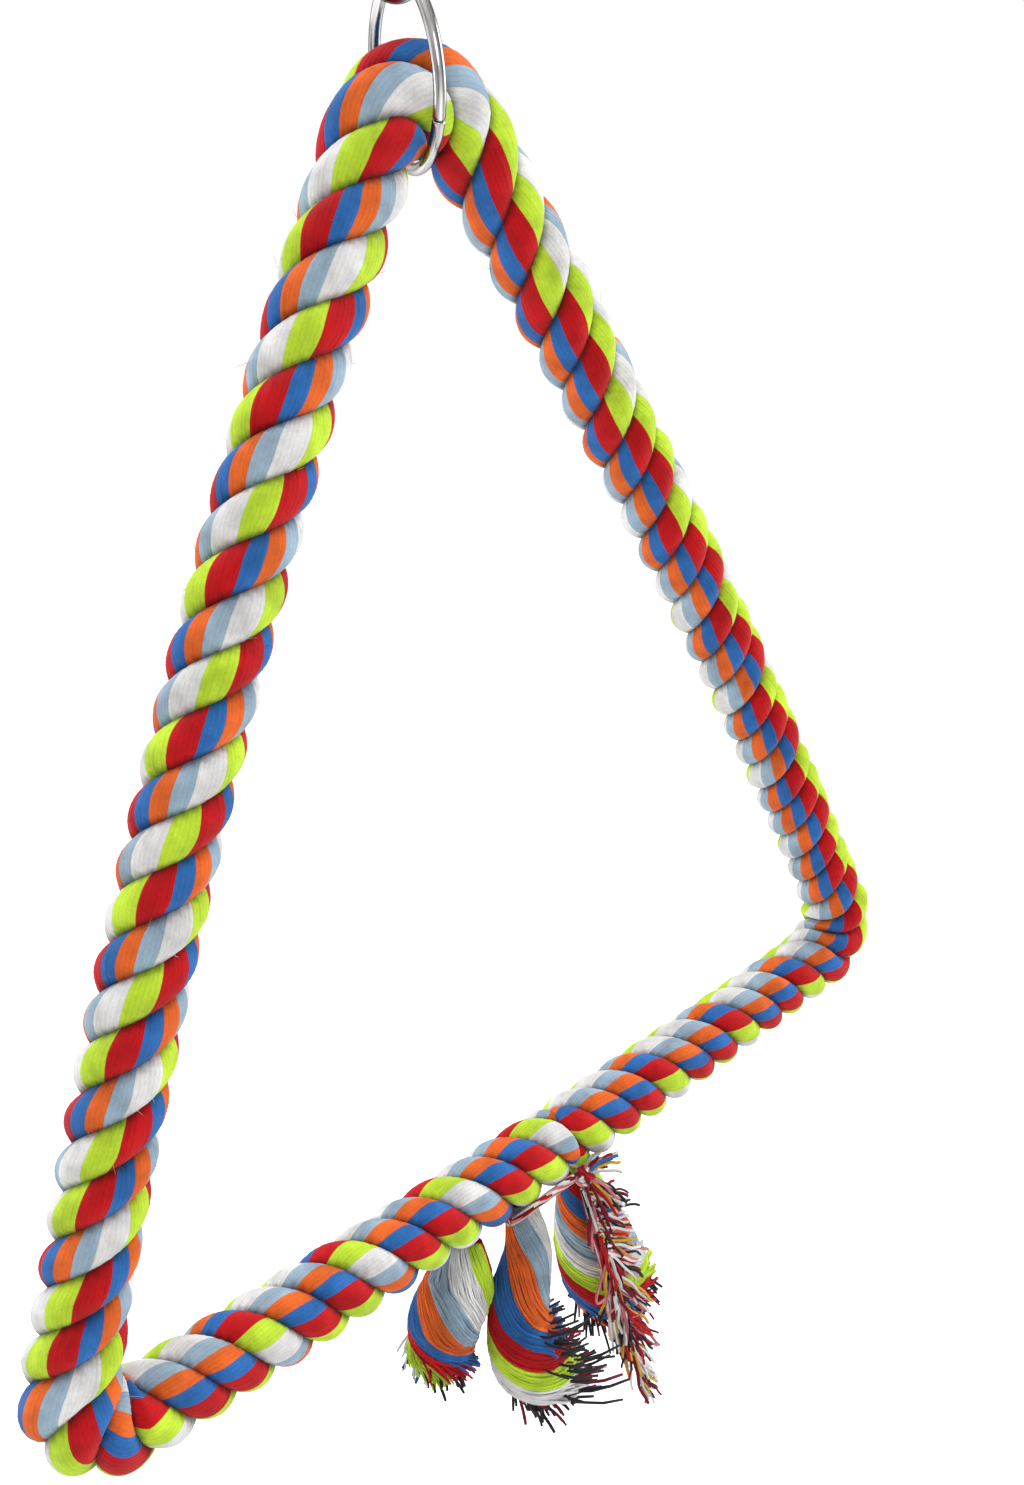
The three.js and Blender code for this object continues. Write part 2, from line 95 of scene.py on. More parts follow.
# Unevenness of the lay: a yarn's height in mm, a strand's radius as a share, its twist in radians
YARN_WAVER = 0.08
STRAND_WAVER = 0.015
TWIST_WAVER = 0.02

# Ends of a strand: length of its rounding, overlap at the joint; and rows of its bake layout
END_DOME = 4.5
END_OVERLAP = 2.5
BAKE_ROWS = 6

# Loose fibre ends on a strand: how many, their length and how thick they are at root and tip
FUZZ = 260
FUZZ_LENGTH = (1.5, 4.5)
FUZZ_RADIUS = (0.07, 0.03)

# Painted shade in the groove between two strands: it starts and is deepest at these angles from a
# strand's outer face, and leaves this share of the colour at its deepest
GROOVE_FROM = math.radians(52)
GROOVE_TO = math.radians(76)
GROOVE_PAINTED_SHADE = 0.3

# How far each strand's own twist has slipped along the rope: length in mm, angle in degrees,
# worked out from the colours that the photograph shows where the strands cross
SLIPS = (
    ((15, -65), (55, -85), (95, -110), (135, -165), (205, -235), (245, -215), (320, -220),
     (360, -240), (445, -255), (495, -270), (555, -360), (600, -370), (645, -390), (690, -425),
     (730, -450), (810, -460), (850, -475), (893, -460), (970, -430), (1050, -405)),
    ((42, -130), (82, -155), (122, -230), (162, -315), (193, -270), (230, -255), (268, -240),
     (348, -250), (388, -265), (478, -270), (533, -260), (583, -315), (629, -330), (675, -370),
     (719, -405), (759, -420), (799, -410), (836, -390), (958, -425), (998, -410), (1037, -375)),
    ((28, 145), (69, 140), (108, 105), (149, 80), (216, 50), (255, 90), (295, 110), (335, 120),
     (417, 110), (462, 95), (510, 75), (568, 150), (614, 150), (660, 140), (705, 115), (746, 95),
     (824, 120), (863, 135), (945, 80), (985, 80), (1024, 105)),
)

# Ring, as in the part
RING_RADIUS = 22.5
RING_WIRE = 3.3
RING_YAW = math.radians(18.5)
RING_BUTT = math.radians(-33)
RING_BUTT_GAP = 0.3
RING_STEPS = 180
WIRE_SIDES = 28

# Cut ends of the ring's wire: distance from the cut in mm, share of the wire's thickness there
RING_BUTT_EDGE = ((0, 0.82), (0.12, 0.92), (0.35, 1.0))

# Dent of the rope under the ring's wire: play left round the wire, the perch's swing and its steps,
# the least share of a strand's radius, the number of shares tried, and how fast the dent may end
RING_PLAY = 0.2
SWING_DEG = 35.0
SWING_STEPS = 15
DENT_LEAST = 0.4
DENT_TRIES = 25
DENT_SLOPE = 0.08
DENT_PASSES = 3

# Quick link and nut, as in the part
LINK_WIRE = 4.5
LINK_SIDE = 9.0
LINK_TOP = -6.75
LINK_BOTTOM = -31.25
STUB_TOP = -28.25
GATE_TOP = -21.25
NUT_FLATS = 8.6
NUT_LENGTH = 13.0
NUT_BORE = 5.1
NUT_BEVEL = 0.6
NUT_CORNER_WEAR = 0.12
NUT_CHAMFER_INSET = 0.15
NUT_CHAMFER_SLOPE = 1.1
NUT_SIDES = 120
LINK_STEP = 0.1
LINK_BEND_STEPS = 60
LINK_END_BEVEL = 0.4
THREAD_PITCH = 0.8
THREAD_DEPTH = 0.2
THREAD_REACH = 13.0
THREAD_FADE = 1.5

# Strand tails, as in the part: order of the colours, route points below the joint,
# and at each point the radius and the angle of the first bundle
BUNDLES = ("sky", "orange", "blue", "red", "lime", "white")
TAIL_SEAT = 0.5
TAILS = (
    ("tail_1", 1,
     ((-43, -1, 0), (-48, -2, -12), (-56, -1, -24), (-60, 0, -39)),
     (5.2, 11.5, 12, 9.5), (99, 58, -50, -275)),
    ("tail_2", 1,
     ((-20, -2, 0.5), (-23.5, -7.5, -13), (-33, -12, -24), (-35, -14.5, -42), (-27, -15, -64)),
     (5.2, 8.5, 10.5, 13.5, 12.5), (-60, -112, -200, -370, -500)),
    ("tail_3", -1,
     ((9.5, 2, 0.6), (12, 3, -16), (16, 5, -36), (22, 7, -57), (30, 8, -78)),
     (5.2, 9.5, 14, 16, 14), (-40, -185, -335, -475, -610)),
)
TAIL_STEPS = 44
END_SPREAD = 0.09
TAIL_YARN_SHARE = 0.08
TAIL_LAYERS = ((1.0, 15), (0.82, 9))
CORE_YARN = 1.05
CORE_COLOURS = ("black", "maroon", "white", "blue")
CORE_SHARES = (0.68, 0.22, 0.04, 0.06)

# Where the core yarns lie: shares of the tail's length, and of its radius there
CORE_SPREAD_AT = (0, 0.5, 0.95)
CORE_SPREAD = (0.12, 0.3, 0.95)

# Cut ends: where along the tail a yarn comes loose, how far it runs on in mm, and the way the ends lie;
# the core's ends come in groups, each with its number of yarns first
BUNDLE_ENDS = {
    "tail_1": ((0.8, 0.94), (5, 10), (-0.1, 0.0, -0.7)),
    "tail_2": ((0.82, 0.94), (5, 10), (0.4, 0.0, -0.4)),
    "tail_3": ((0.76, 0.9), (5, 11), (0.8, 0.0, -0.3)),
}
ODD_ENDS = {
    "tail_2_sky": ((0.52, 0.6), (3, 7), (0.3, 0.1, -0.8)),
    "tail_2_orange": ((0.55, 0.63), (3, 7), (0.3, 0.1, -0.8)),
    "tail_2_blue": ((0.58, 0.67), (3, 7), (0.3, 0.1, -0.8)),
    "tail_2_red": ((0.78, 0.9), (9, 16), (1.0, 0.1, 0.3)),
}
CORE_ENDS = {
    "tail_1": ((90, (0.8, 0.95), (7, 12), (-0.4, 0.0, -1.0)),),
    "tail_2": ((340, (0.3, 0.6), (32, 58), (2.2, 0.15, 0.3)),
               (100, (0.82, 0.94), (7, 13), (-0.1, 0.0, -1.0))),
    "tail_3": ((140, (0.62, 0.92), (12, 24), (-0.5, -0.5, -0.6)),),
}

# Tie, as in the part: a flat cord on the rope, its knot, and a hanging fringed end
TIE_OUT = 13.8
TIE_BAND_LENGTH = 23.0
TIE_BAND_DEG = (62.0, 31.0)
TIE_BAND_SIZE = (4.6, 2.0)
TIE_BAND_YARNS = 9
TIE_BAND_YARN = 1.8
TIE_BAND_COLOURS = ("pink", "white", "maroon", "white", "pink", "white", "red", "white", "maroon")
TIE_BAND_RUN = (-0.04, 1.05)
TIE_BAND_STEPS = 44
TIE_BAND_TURNS = 0.8
TIE_BAND_CLIMB = 6
TIE_KNOT_SIZE = (10.0, 8.0, 9.0)
TIE_KNOT_TURNS = 22
TIE_KNOT_INNER_TURNS = 6
TIE_KNOT_INNER = 0.4
TIE_KNOT_OUTER = (0.5, 0.72)
TIE_KNOT_ENDS = (((0.8, -0.1, 0.45), 16), ((0.7, -0.5, -0.7), 12), ((0.1, -0.5, -1.0), 8))
TIE_END_LENGTH = (8, 15)
TIE_SEAT = 0.3
TIE_STEM_LENGTH = 84.0
TIE_STEM_LEAN = (10.0, -4.0)
TIE_STEM_WIDTH = (4.0, 7.0)
TIE_STEM_YARNS = 30
TIE_STEM_PARTING = 0.35
TIE_FRINGE_YARNS = 60
TIE_FRINGE_LENGTH = (11, 20)
TIE_TUFTS = 7
TIE_TUFT_LENGTH = 18.0
TIE_TUFT_DROP_DEG = (30.0, 72.0)
TIE_TUFT_YARNS = 24
TIE_TUFT_ROOT = (-1.0, -2.4, 0.6)
TIE_TUFT_SPREAD = 0.14
TIE_YARN = 1.3
TIE_COLOURS = ("red", "white", "maroon", "black", "pink", "yellow", "blue")
TIE_SHARES = (0.13, 0.33, 0.19, 0.15, 0.07, 0.1, 0.03)

# The stem's lower end parts in three: share of its yarns, sideways reach in mm and where the yarns stop
TIE_PARTS = ((0.34, -6.0, 0.8), (0.4, 1.0, 1.03), (0.26, 9.0, 0.7))

# Pink loops in front of the stem: where they start, their sideways reach in mm
TIE_LOOPS = ((0.3, -11), (0.38, -8), (0.5, 7))

# Painted shade between two yarns, loose and laid
LOOSE_GAP_PAINTED_SHADE = 0.62
LAID_GAP_PAINTED_SHADE = 0.92

# Cotton colours
COLOURS = {
    "white": (0.82, 0.79, 0.76),
    "lime": (0.53, 0.83, 0.04),
    "red": (0.52, 0.005, 0.008),
    "blue": (0.027, 0.142, 0.43),
    "orange": (0.88, 0.135, 0.02),
    "sky": (0.32, 0.435, 0.54),
    "black": (0.016, 0.015, 0.02),
    "pink": (0.62, 0.2, 0.22),
    "maroon": (0.19, 0.006, 0.014),
    "yellow": (0.72, 0.4, 0.05),
}

# Camera, fitted to the photograph: its place and its right and down directions
CAMERA_AT = (-254.8203, -310.2452)
CAMERA_BELOW_APEX = 43.0732
CAMERA_RIGHT = (0.73042825, -0.67505495, -0.1075165)
CAMERA_DOWN = (-0.31256169, -0.18940431, -0.93105764)
CAMERA_LENS = 34.693
CAMERA_SENSOR = 36.0

FLOOR_Z = -0.8
FLOOR_SIZE = 12.0
FLOOR_GLOW = 0.7
WORLD_LEVEL = 0.42

# Lamps: place and size in metres, and power; all point at the middle of the triangle
LAMP_TARGET = (0, 0, -0.25)
LAMPS = (
    ("left_tent", (-0.95, 1.35, 0.1), 1.5, 20),
    ("right_tent", (1.6, -0.6, 0.1), 1.5, 26),
    ("top_tent", (0.2, 0.3, 1.5), 1.5, 24),
    ("front_fill", (-0.9, -1.5, 0.5), 1.2, 13),
)

# Bake layout: where a strip's sides lie in its length and height, and the tips and rims of its ends
STRIP_START, STRIP_LENGTH = 0.04, 0.92
STRIP_LOW, STRIP_HEIGHT = 0.03, 0.94
FAN_TIP, FAN_RIM = 0.005, 0.035


# Height of the triangle's apex point in the part's frame
def apex_height():
    low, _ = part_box("core_wire")
    return low.z / MM + TRIANGLE_RISE + PERCH_SAG + CORE_WIRE_DIAMETER / 2 * math.cos(math.radians(30))


APEX_Z = apex_height()


def unit(vector):
    return vector / np.linalg.norm(vector, axis=-1, keepdims=True)


# Materials

def node(tree, kind, inputs=(), **settings):
    made = tree.nodes.new(kind)
    for key, value in settings.items():
        setattr(made, key, value)
    for key, value in dict(inputs).items():
        made.inputs[key].default_value = value
    return made


def blank_material(name):
    material = bpy.data.materials.new(name)
    material.use_nodes = True
    return material, material.node_tree, material.node_tree.nodes["Principled BSDF"]


def shade(colour, factor):
    return tuple(min(1.0, c * factor) for c in colour) + (1.0,)


# A value carried from one range to another
def ranged(tree, value, limits, **settings):
    made = node(tree, "ShaderNodeMapRange", limits, **settings)
    tree.links.new(value, made.inputs["Value"])
    return made.outputs["Result"]


def computed(tree, operation, one, other):
    made = node(tree, "ShaderNodeMath", operation=operation)
    tree.links.new(one, made.inputs[0])
    tree.links.new(other, made.inputs[1])
    return made.outputs["Value"]


def stretched(tree, place, inputs):
    made = node(tree, "ShaderNodeMapping", inputs)
    tree.links.new(place, made.inputs["Vector"])
    return made.outputs["Vector"]


def noise(tree, place, inputs):
    made = node(tree, "ShaderNodeTexNoise", inputs)
    tree.links.new(place, made.inputs["Vector"])
    return made.outputs["Fac"]


def mixed(tree, value, one, other):
    made = node(tree, "ShaderNodeMix", data_type="RGBA")
    made.inputs["A"].default_value = one
    made.inputs["B"].default_value = other
    tree.links.new(value, made.inputs["Factor"])
    return made.outputs["Result"]


def roughen(tree, shader, height, strength, distance):
    bump = node(tree, "ShaderNodeBump", {"Strength": strength, "Distance": distance})
    tree.links.new(height, bump.inputs["Height"])
    tree.links.new(bump.outputs["Normal"], shader.inputs["Normal"])


# Painted shade on cotton: darker between two yarns and in the grooves between the rope's strands, where
# shade falls
def cotton_painted_shade(tree, yarn, between):
    parts = node(tree, "ShaderNodeSeparateXYZ")
    tree.links.new(yarn, parts.inputs["Vector"])
    across = node(tree, "ShaderNodeMath", operation="PINGPONG")
    across.inputs[1].default_value = 0.5
    tree.links.new(parts.outputs["Y"], across.inputs[0])
    # Painted shade in the gap between two yarns, across each yarn's width
    gap = ranged(tree, across.outputs["Value"], {"From Max": 0.35, "To Min": between, "To Max": 1.0},
                 interpolation_type="SMOOTHSTEP")
    # Painted shade in the grooves between strands, set by each point's weight on the mesh
    depth = node(tree, "ShaderNodeAttribute", attribute_name="Depth")
    groove = ranged(tree, depth.outputs["Fac"], {"To Min": 1.0, "To Max": GROOVE_PAINTED_SHADE})
    return computed(tree, "MULTIPLY", gap, groove)


# Spun cotton: fibre streaks slanted to the yarn, mottled dye, and painted shade between yarns and strands
def cotton(name, colour, between):
    material, tree, shader = blank_material(name)
    link = tree.links.new
    yarn = node(tree, "ShaderNodeUVMap", uv_map="Yarn").outputs["UV"]
    slant = stretched(tree, yarn, {"Rotation": (0, 0, math.radians(24)), "Scale": (0.7, 5.5, 1)})
    fibre = noise(tree, slant, {"Scale": 1.6, "Detail": 4.0, "Roughness": 0.65})
    place = node(tree, "ShaderNodeTexCoord").outputs["Object"]
    mottle = noise(tree, place, {"Scale": 140.0, "Detail": 3.0})

    streaks = mixed(tree, fibre, shade(colour, 0.52), shade(colour, 1.38))
    tone = ranged(tree, mottle, {"From Min": 0.3, "From Max": 0.7, "To Min": 0.76, "To Max": 1.16})
    dyed = node(tree, "ShaderNodeMix", data_type="RGBA", blend_type="MULTIPLY")
    dyed.inputs["Factor"].default_value = 1.0
    link(streaks, dyed.inputs["A"])
    link(computed(tree, "MULTIPLY", tone, cotton_painted_shade(tree, yarn, between)), dyed.inputs["B"])
    link(dyed.outputs["Result"], shader.inputs["Base Color"])

    link(ranged(tree, fibre, {"To Min": 0.82, "To Max": 0.98}), shader.inputs["Roughness"])
    roughen(tree, shader, fibre, 0.55, 0.0003)
    shader.inputs["Specular IOR Level"].default_value = 0.2
    shader.inputs["Sheen Weight"].default_value = 0.05
    shader.inputs["Sheen Roughness"].default_value = 0.5
    return material


# Bright plated steel with handling marks; along a drawn wire, darker streaks that are draw lines deepened
# into painted dark reflection
def bright_steel(name, colour, smooth, dull, drawn):
    material, tree, shader = blank_material(name)
    link = tree.links.new
    place = node(tree, "ShaderNodeTexCoord").outputs["Object"]
    marks = noise(tree, place, {"Scale": 900.0, "Detail": 5.0, "Roughness": 0.7})
    if drawn:
        wire = node(tree, "ShaderNodeUVMap", uv_map="Yarn").outputs["UV"]
        along = stretched(tree, wire, {"Scale": (0.03, 2.4, 1)})
        lines = noise(tree, along, {"Scale": 1.0, "Detail": 3.0})
    else:
        lines = noise(tree, place, {"Scale": 160.0, "Detail": 3.0})
    depth = ranged(tree, lines, {"From Min": 0.38, "From Max": 0.62})
    # On drawn wire the streaks' low end is painted reflection of dark surroundings; on other steel it is
    # plain tone
    dark_lines_and_painted_reflection = shade(colour, 0.2 if drawn else 0.85)
    link(mixed(tree, depth, dark_lines_and_painted_reflection, shade(colour, 1.1)), shader.inputs["Base Color"])
    polish = ranged(tree, marks, {"From Min": 0.35, "From Max": 0.7, "To Min": smooth, "To Max": dull})
    link(polish, shader.inputs["Roughness"])
    roughen(tree, shader, marks, 0.08, 0.0001)
    shader.inputs["Metallic"].default_value = 1.0
    shader.inputs["Specular Tint"].default_value = (0.4, 0.39, 0.38, 1)
    return material


COTTON = {name: cotton(f"cotton_{name}", colour, LOOSE_GAP_PAINTED_SHADE) for name, colour in COLOURS.items()}
LAID_COTTON = {name: cotton(f"laid_cotton_{name}", COLOURS[name], LAID_GAP_PAINTED_SHADE) for name, _ in BANDS}
# Ring and link wire, drawn: its streaks carry painted dark reflection
STEEL = bright_steel("bright_steel", (0.6, 0.59, 0.58), 0.1, 0.26, True)
NUT_STEEL = bright_steel("nut_steel", (0.58, 0.58, 0.58), 0.16, 0.34, False)
DRAWN_STEEL = bright_steel("drawn_steel", (0.5, 0.5, 0.51), 0.3, 0.5, False)


# Mesh code: a sweep is a stack of closed rings, counterclockwise about the way it runs

# depth is each point's weight of painted groove shade
def sweep(rings, colours=0, along=None, across=None, rows=1, depth=0.0):
    rings = np.asarray(rings, float)
    count, sides = rings.shape[:2]
    if along is None:
        middle = rings.mean(axis=1)
        along = np.r_[0, np.cumsum(np.linalg.norm(np.diff(middle, axis=0), axis=1))]
    if across is None:
        across = np.linspace(0, 2, sides + 1)
    colours = np.broadcast_to(colours, sides)
    depth = np.broadcast_to(depth, (count, sides))
    return {
        "rings": rings, "colours": colours, "depth": depth,
        "along": along, "across": across, "rows": rows,
    }


# Layout of faces with the same number of corners: one pair of coordinate rows for each corner
def corners(*pairs):
    return np.stack([np.column_stack(pair) for pair in pairs], axis=1)


# Sides of a sweep, in strips first to first + rows of the whole bake layout
def sweep_sides(item, first, strips):
    along, across, rows = item["along"], item["across"], item["rows"]
    count, sides = item["rings"].shape[:2]
    i, j = np.meshgrid(np.arange(count - 1), np.arange(sides), indexing="ij")
    i, j = i.ravel(), j.ravel()
    beside = (j + 1) % sides
    near, far = i * sides, (i + 1) * sides
    quads = np.column_stack([near + j, near + beside, far + beside, far + j])

    per_row = math.ceil((count - 1) / rows)
    row = i // per_row
    start = (i - row * per_row) / per_row
    step = 1 / per_row
    u0 = STRIP_START + STRIP_LENGTH * start
    u1 = STRIP_START + STRIP_LENGTH * (start + step)
    v0 = (first + row + STRIP_LOW + STRIP_HEIGHT * j / sides) / strips
    v1 = (first + row + STRIP_LOW + STRIP_HEIGHT * (j + 1) / sides) / strips
    bake = corners((u0, v0), (u0, v1), (u1, v1), (u1, v0))
    yarn = corners((along[i], across[j]), (along[i], across[j + 1]),
                   (along[i + 1], across[j + 1]), (along[i + 1], across[j]))
    return quads, bake, yarn, item["colours"][j]


# Fans that close the two ends of a sweep, each about a point added after the rings
def sweep_ends(item, first, strips):
    along, across, rows = item["along"], item["across"], item["rows"]
    count, sides = item["rings"].shape[:2]
    column = np.arange(sides)
    turned = (column + 1) % sides
    middle = np.full(sides, count * sides)
    last = (count - 1) * sides
    fans = np.vstack([np.column_stack([middle, turned, column]),
                      np.column_stack([middle + 1, last + column, last + turned])])
    low = (first + STRIP_LOW + STRIP_HEIGHT * column / sides) / strips
    high = (first + STRIP_LOW + STRIP_HEIGHT * (column + 1) / sides) / strips
    lift = (rows - 1) / strips
    side = np.ones(sides)
    tip, rim = FAN_TIP * side, FAN_RIM * side
    bake = np.vstack([
        corners((tip, (low + high) / 2), (rim, high), (rim, low)),
        corners((1 - tip, (low + high) / 2 + lift), (1 - rim, low + lift), (1 - rim, high + lift))])
    yarn = np.vstack([corners(*[(end * side, across[:-1])] * 3) for end in (along[0], along[-1])])
    return fans, bake, yarn, np.tile(item["colours"], 2)


def sweep_faces(item, base, first, strips):
    quads, bake, yarn, slots = sweep_sides(item, first, strips)
    fans, fan_bake, fan_yarn, fan_slots = sweep_ends(item, first, strips)
    rings, depth = item["rings"], item["depth"]
    return {
        "points": np.vstack([rings.reshape(-1, 3), rings[0].mean(axis=0), rings[-1].mean(axis=0)]),
        "depth": np.r_[depth.ravel(), depth[0].mean(), depth[-1].mean()],
        "quads": quads + base, "fans": fans + base, "bake": (bake, fan_bake), "yarn": (yarn, fan_yarn),
        "quad_slots": slots, "fan_slots": fan_slots,
    }


def sweeps_mesh(name, sweeps):
    strips = sum(item["rows"] for item in sweeps)
    parts, base, first = [], 0, 0
    for item in sweeps:
        part = sweep_faces(item, base, first, strips)
        parts.append(part)
        base += len(part["points"])
        first += item["rows"]
    points = np.vstack([part["points"] for part in parts]) * MM
    quads = np.vstack([part["quads"] for part in parts])
    fans = np.vstack([part["fans"] for part in parts])
    slots = [part[key] for key in ("quad_slots", "fan_slots") for part in parts]

    mesh = bpy.data.meshes.new(name)
    mesh.vertices.add(len(points))
    mesh.vertices.foreach_set("co", points.astype(np.float32).ravel())
    loops = np.concatenate([quads.ravel(), fans.ravel()])
    starts = np.concatenate([np.arange(len(quads)) * 4, 4 * len(quads) + np.arange(len(fans)) * 3])
    mesh.loops.add(len(loops))
    mesh.loops.foreach_set("vertex_index", loops.astype(np.int32))
    mesh.polygons.add(len(starts))
    mesh.polygons.foreach_set("loop_start", starts.astype(np.int32))
    mesh.polygons.foreach_set("material_index", np.concatenate(slots).astype(np.int32))
    mesh.polygons.foreach_set("use_smooth", np.ones(len(starts), bool))
    mesh.update(calc_edges=True)
    # Each point's weight of painted groove shade, read by the cotton material
    depth = np.concatenate([part["depth"] for part in parts]).astype(np.float32)
    mesh.attributes.new("Depth", "FLOAT", "POINT").data.foreach_set("value", depth)
    for layer, key in (("OFBake", "bake"), ("Yarn", "yarn")):
        flat = np.vstack([part[key][kind].reshape(-1, 2) for kind in (0, 1) for part in parts])
        mesh.uv_layers.new(name=layer).data.foreach_set("uv", flat.astype(np.float32).ravel())
    return mesh


def make_piece(name, sweeps, materials, body, nodes):
    piece = bpy.data.objects.new(name, sweeps_mesh(name, sweeps))
    bpy.context.scene.collection.objects.link(piece)
    for material in materials:
        piece.data.materials.append(material)
    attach(piece, body)
    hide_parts(*nodes)


# A direction across a path, carried along it without spinning
def carried(across, ahead):
    rows = []
    for direction in ahead:
        across = unit(across - direction * across.dot(direction))
        rows.append(across)
    return np.array(rows)


def path_start(path):
    ahead = unit(np.gradient(path, axis=0))
    least = np.eye(3)[np.abs(ahead[0]).argmin()]
    return ahead, unit(np.cross(ahead[0], least))


def tube(path, radius, sides=6, colours=0):
    path = np.asarray(path, float)
    ahead, first = path_start(path)
    side = carried(first, ahead)[:, None]
    up = np.cross(ahead, side[:, 0])[:, None]
    angle = 2 * np.pi * np.arange(sides)[:, None] / sides
    radius = np.broadcast_to(radius, len(path))[:, None, None]
    rings = path[:, None] + radius * (np.cos(angle) * side + np.sin(angle) * up)
    return sweep(rings, colours)


# Rope

def bowed_side(start, end, bow):
    along = end - start
    outward = np.array([-along[1], along[0]]) / np.hypot(*along)
    share = np.linspace(0, 1, SIDE_POINTS)[:, None]
    return start + along * share + outward * (4 * share * (1 - share) * bow)


def nearest(side, point):
    distance = np.hypot(*(side - point).T)
    index = int(distance.argmin())
    return index, distance[index]


# The bend's centre lies on the corner's bisector, one radius from both sides
def round_corner(before, after, radius):
    corner = after[0]
    inward = unit(unit(before[-2] - corner) + unit(after[1] - corner))
    low, high = radius, PERCH_SPAN / 2
    while high - low > 1e-3:
        centre = corner + inward * (low + high) / 2
        if nearest(before, centre)[1] + nearest(after, centre)[1] < 2 * radius:
            low = (low + high) / 2
        else:
            high = (low + high) / 2
    leave, join = nearest(before, centre)[0], nearest(after, centre)[0]
    start = math.atan2(*(before[leave] - centre)[::-1])
    turn = math.atan2(*(after[join] - centre)[::-1]) - start
    turn -= 2 * math.pi * math.ceil(turn / (2 * math.pi))
    count = math.ceil(-turn / BEND_STEP)
    angle = start + turn * np.arange(1, count) / count
    return leave, join, centre + radius * np.column_stack([np.cos(angle), np.sin(angle)])


# A smooth line through points, with equal parameter steps between them
def smooth_line(points, steps=24):
    points = np.asarray(points, float)
    ends = np.vstack([points[:1], points, points[-1:]])
    t = (np.arange(steps) / steps)[:, None]
    pieces = []
    for p0, p1, p2, p3 in zip(ends, ends[1:], ends[2:], ends[3:]):
        v0, v1 = (p2 - p0) / 2, (p3 - p1) / 2
        cubic = 2 * p1 - 2 * p2 + v0 + v1
        square = -3 * p1 + 3 * p2 - 2 * v0 - v1
        pieces.append(cubic * t ** 3 + square * t ** 2 + v0 * t + p1)
    return np.vstack(pieces + [points[-1:]])


def smoothstep(x):
    x = np.clip(x, 0, 1)
    return x * x * (3 - 2 * x)


# Values given at even steps, read at a share of the way along
def evenly(values, share):
    return np.interp(share, np.linspace(0, 1, len(values)), values)


# The rope's centreline in its plane, from the joint to the left, up, over the apex and back
def rope_line():
    apex = np.zeros(2)
    left = np.array([-PERCH_SPAN / 2, -TRIANGLE_RISE])
    right = np.array([PERCH_SPAN / 2, -TRIANGLE_RISE])
    perch = bowed_side(right, left, PERCH_SAG)
    left_leg = bowed_side(left, apex, LEFT_LEG_BOW)
    right_leg = bowed_side(apex, right, RIGHT_LEG_BOW)
    leave_l, join_l, arc_l = round_corner(perch, left_leg, CORNER_BEND)
    leave_a, join_a, arc_a = round_corner(left_leg, right_leg, APEX_BEND)
    leave_r, join_r, arc_r = round_corner(right_leg, perch, CORNER_BEND)
    share = (JOINT_X + PERCH_SPAN / 2) / PERCH_SPAN
    joint = np.array([[JOINT_X, -TRIANGLE_RISE - 4 * share * (1 - share) * PERCH_SAG]])
    first, last = perch[:leave_l + 1], perch[join_r:]
    line = smooth_line(np.vstack([
        joint, first[first[:, 0] < JOINT_X - 1], arc_l, left_leg[join_l:leave_a + 1], arc_a,
        right_leg[join_a:leave_r + 1], arc_r, last[last[:, 0] > JOINT_X + 1], joint]))
    bends = [arc[len(arc) // 2] for arc in (arc_l, arc_a, arc_r)]
    return line, bends


# Stations along the rope, from a little before its start: place, tangent, turn of the lay and girth
def rope_stations():
    line, bends = rope_line()
    length = np.r_[0, np.cumsum(np.hypot(*np.diff(line, axis=0).T))]
    whole = length[-1]
    fine = np.arange(0, whole, LAY_STEP)
    pitch = evenly(LAY_PITCHES, fine / whole)
    turns = LAY_START + np.r_[0, np.cumsum(2 * np.pi * LAY_STEP / pitch)[:-1]]

    s = np.linspace(-END_OVERLAP, whole, int(whole / RING_STEP))
    inside = np.clip(s, 0, whole)
    at = np.column_stack([np.interp(inside, length, line[:, 0]), np.interp(inside, length, line[:, 1])])
    at[:, 0] -= np.minimum(s, 0)
    tangent = unit(np.gradient(at, axis=0))
    turn = np.interp(inside, fine, turns) + np.minimum(s, 0) * 2 * np.pi / LAY_PITCHES[0]
    girth = np.ones(len(s))
    for bend, most in zip(bends, (CORNER_SWELL, APEX_SWELL, CORNER_SWELL)):
        far = np.minimum(1, np.hypot(*(at - bend).T) / SWELL_REACH)
        girth *= 1 + (most - 1) * 0.5 * (1 + np.cos(np.pi * far))
    inset = np.maximum(0, 1 - (whole - s) / END_ROUNDING)
    girth *= END_WAIST + (1 - END_WAIST) * np.sqrt(1 - inset ** 2)
    from_end = np.minimum(s + END_OVERLAP, whole - s)
    dome = np.sqrt(np.maximum(1e-4, 1 - np.maximum(0, 1 - from_end / END_DOME) ** 2))
    return {"s": s, "at": at, "tangent": tangent, "turn": turn, "girth": girth, "dome": dome}


# The ring's own directions and its centre
def ring_frame():
    along = np.array([-math.sin(RING_YAW), -math.cos(RING_YAW), 0])
    normal = np.array([math.cos(RING_YAW), -math.sin(RING_YAW), 0])
    low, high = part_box("ring")
    return along, normal, np.array([0, 0, (low.z + high.z) / 2 / MM])


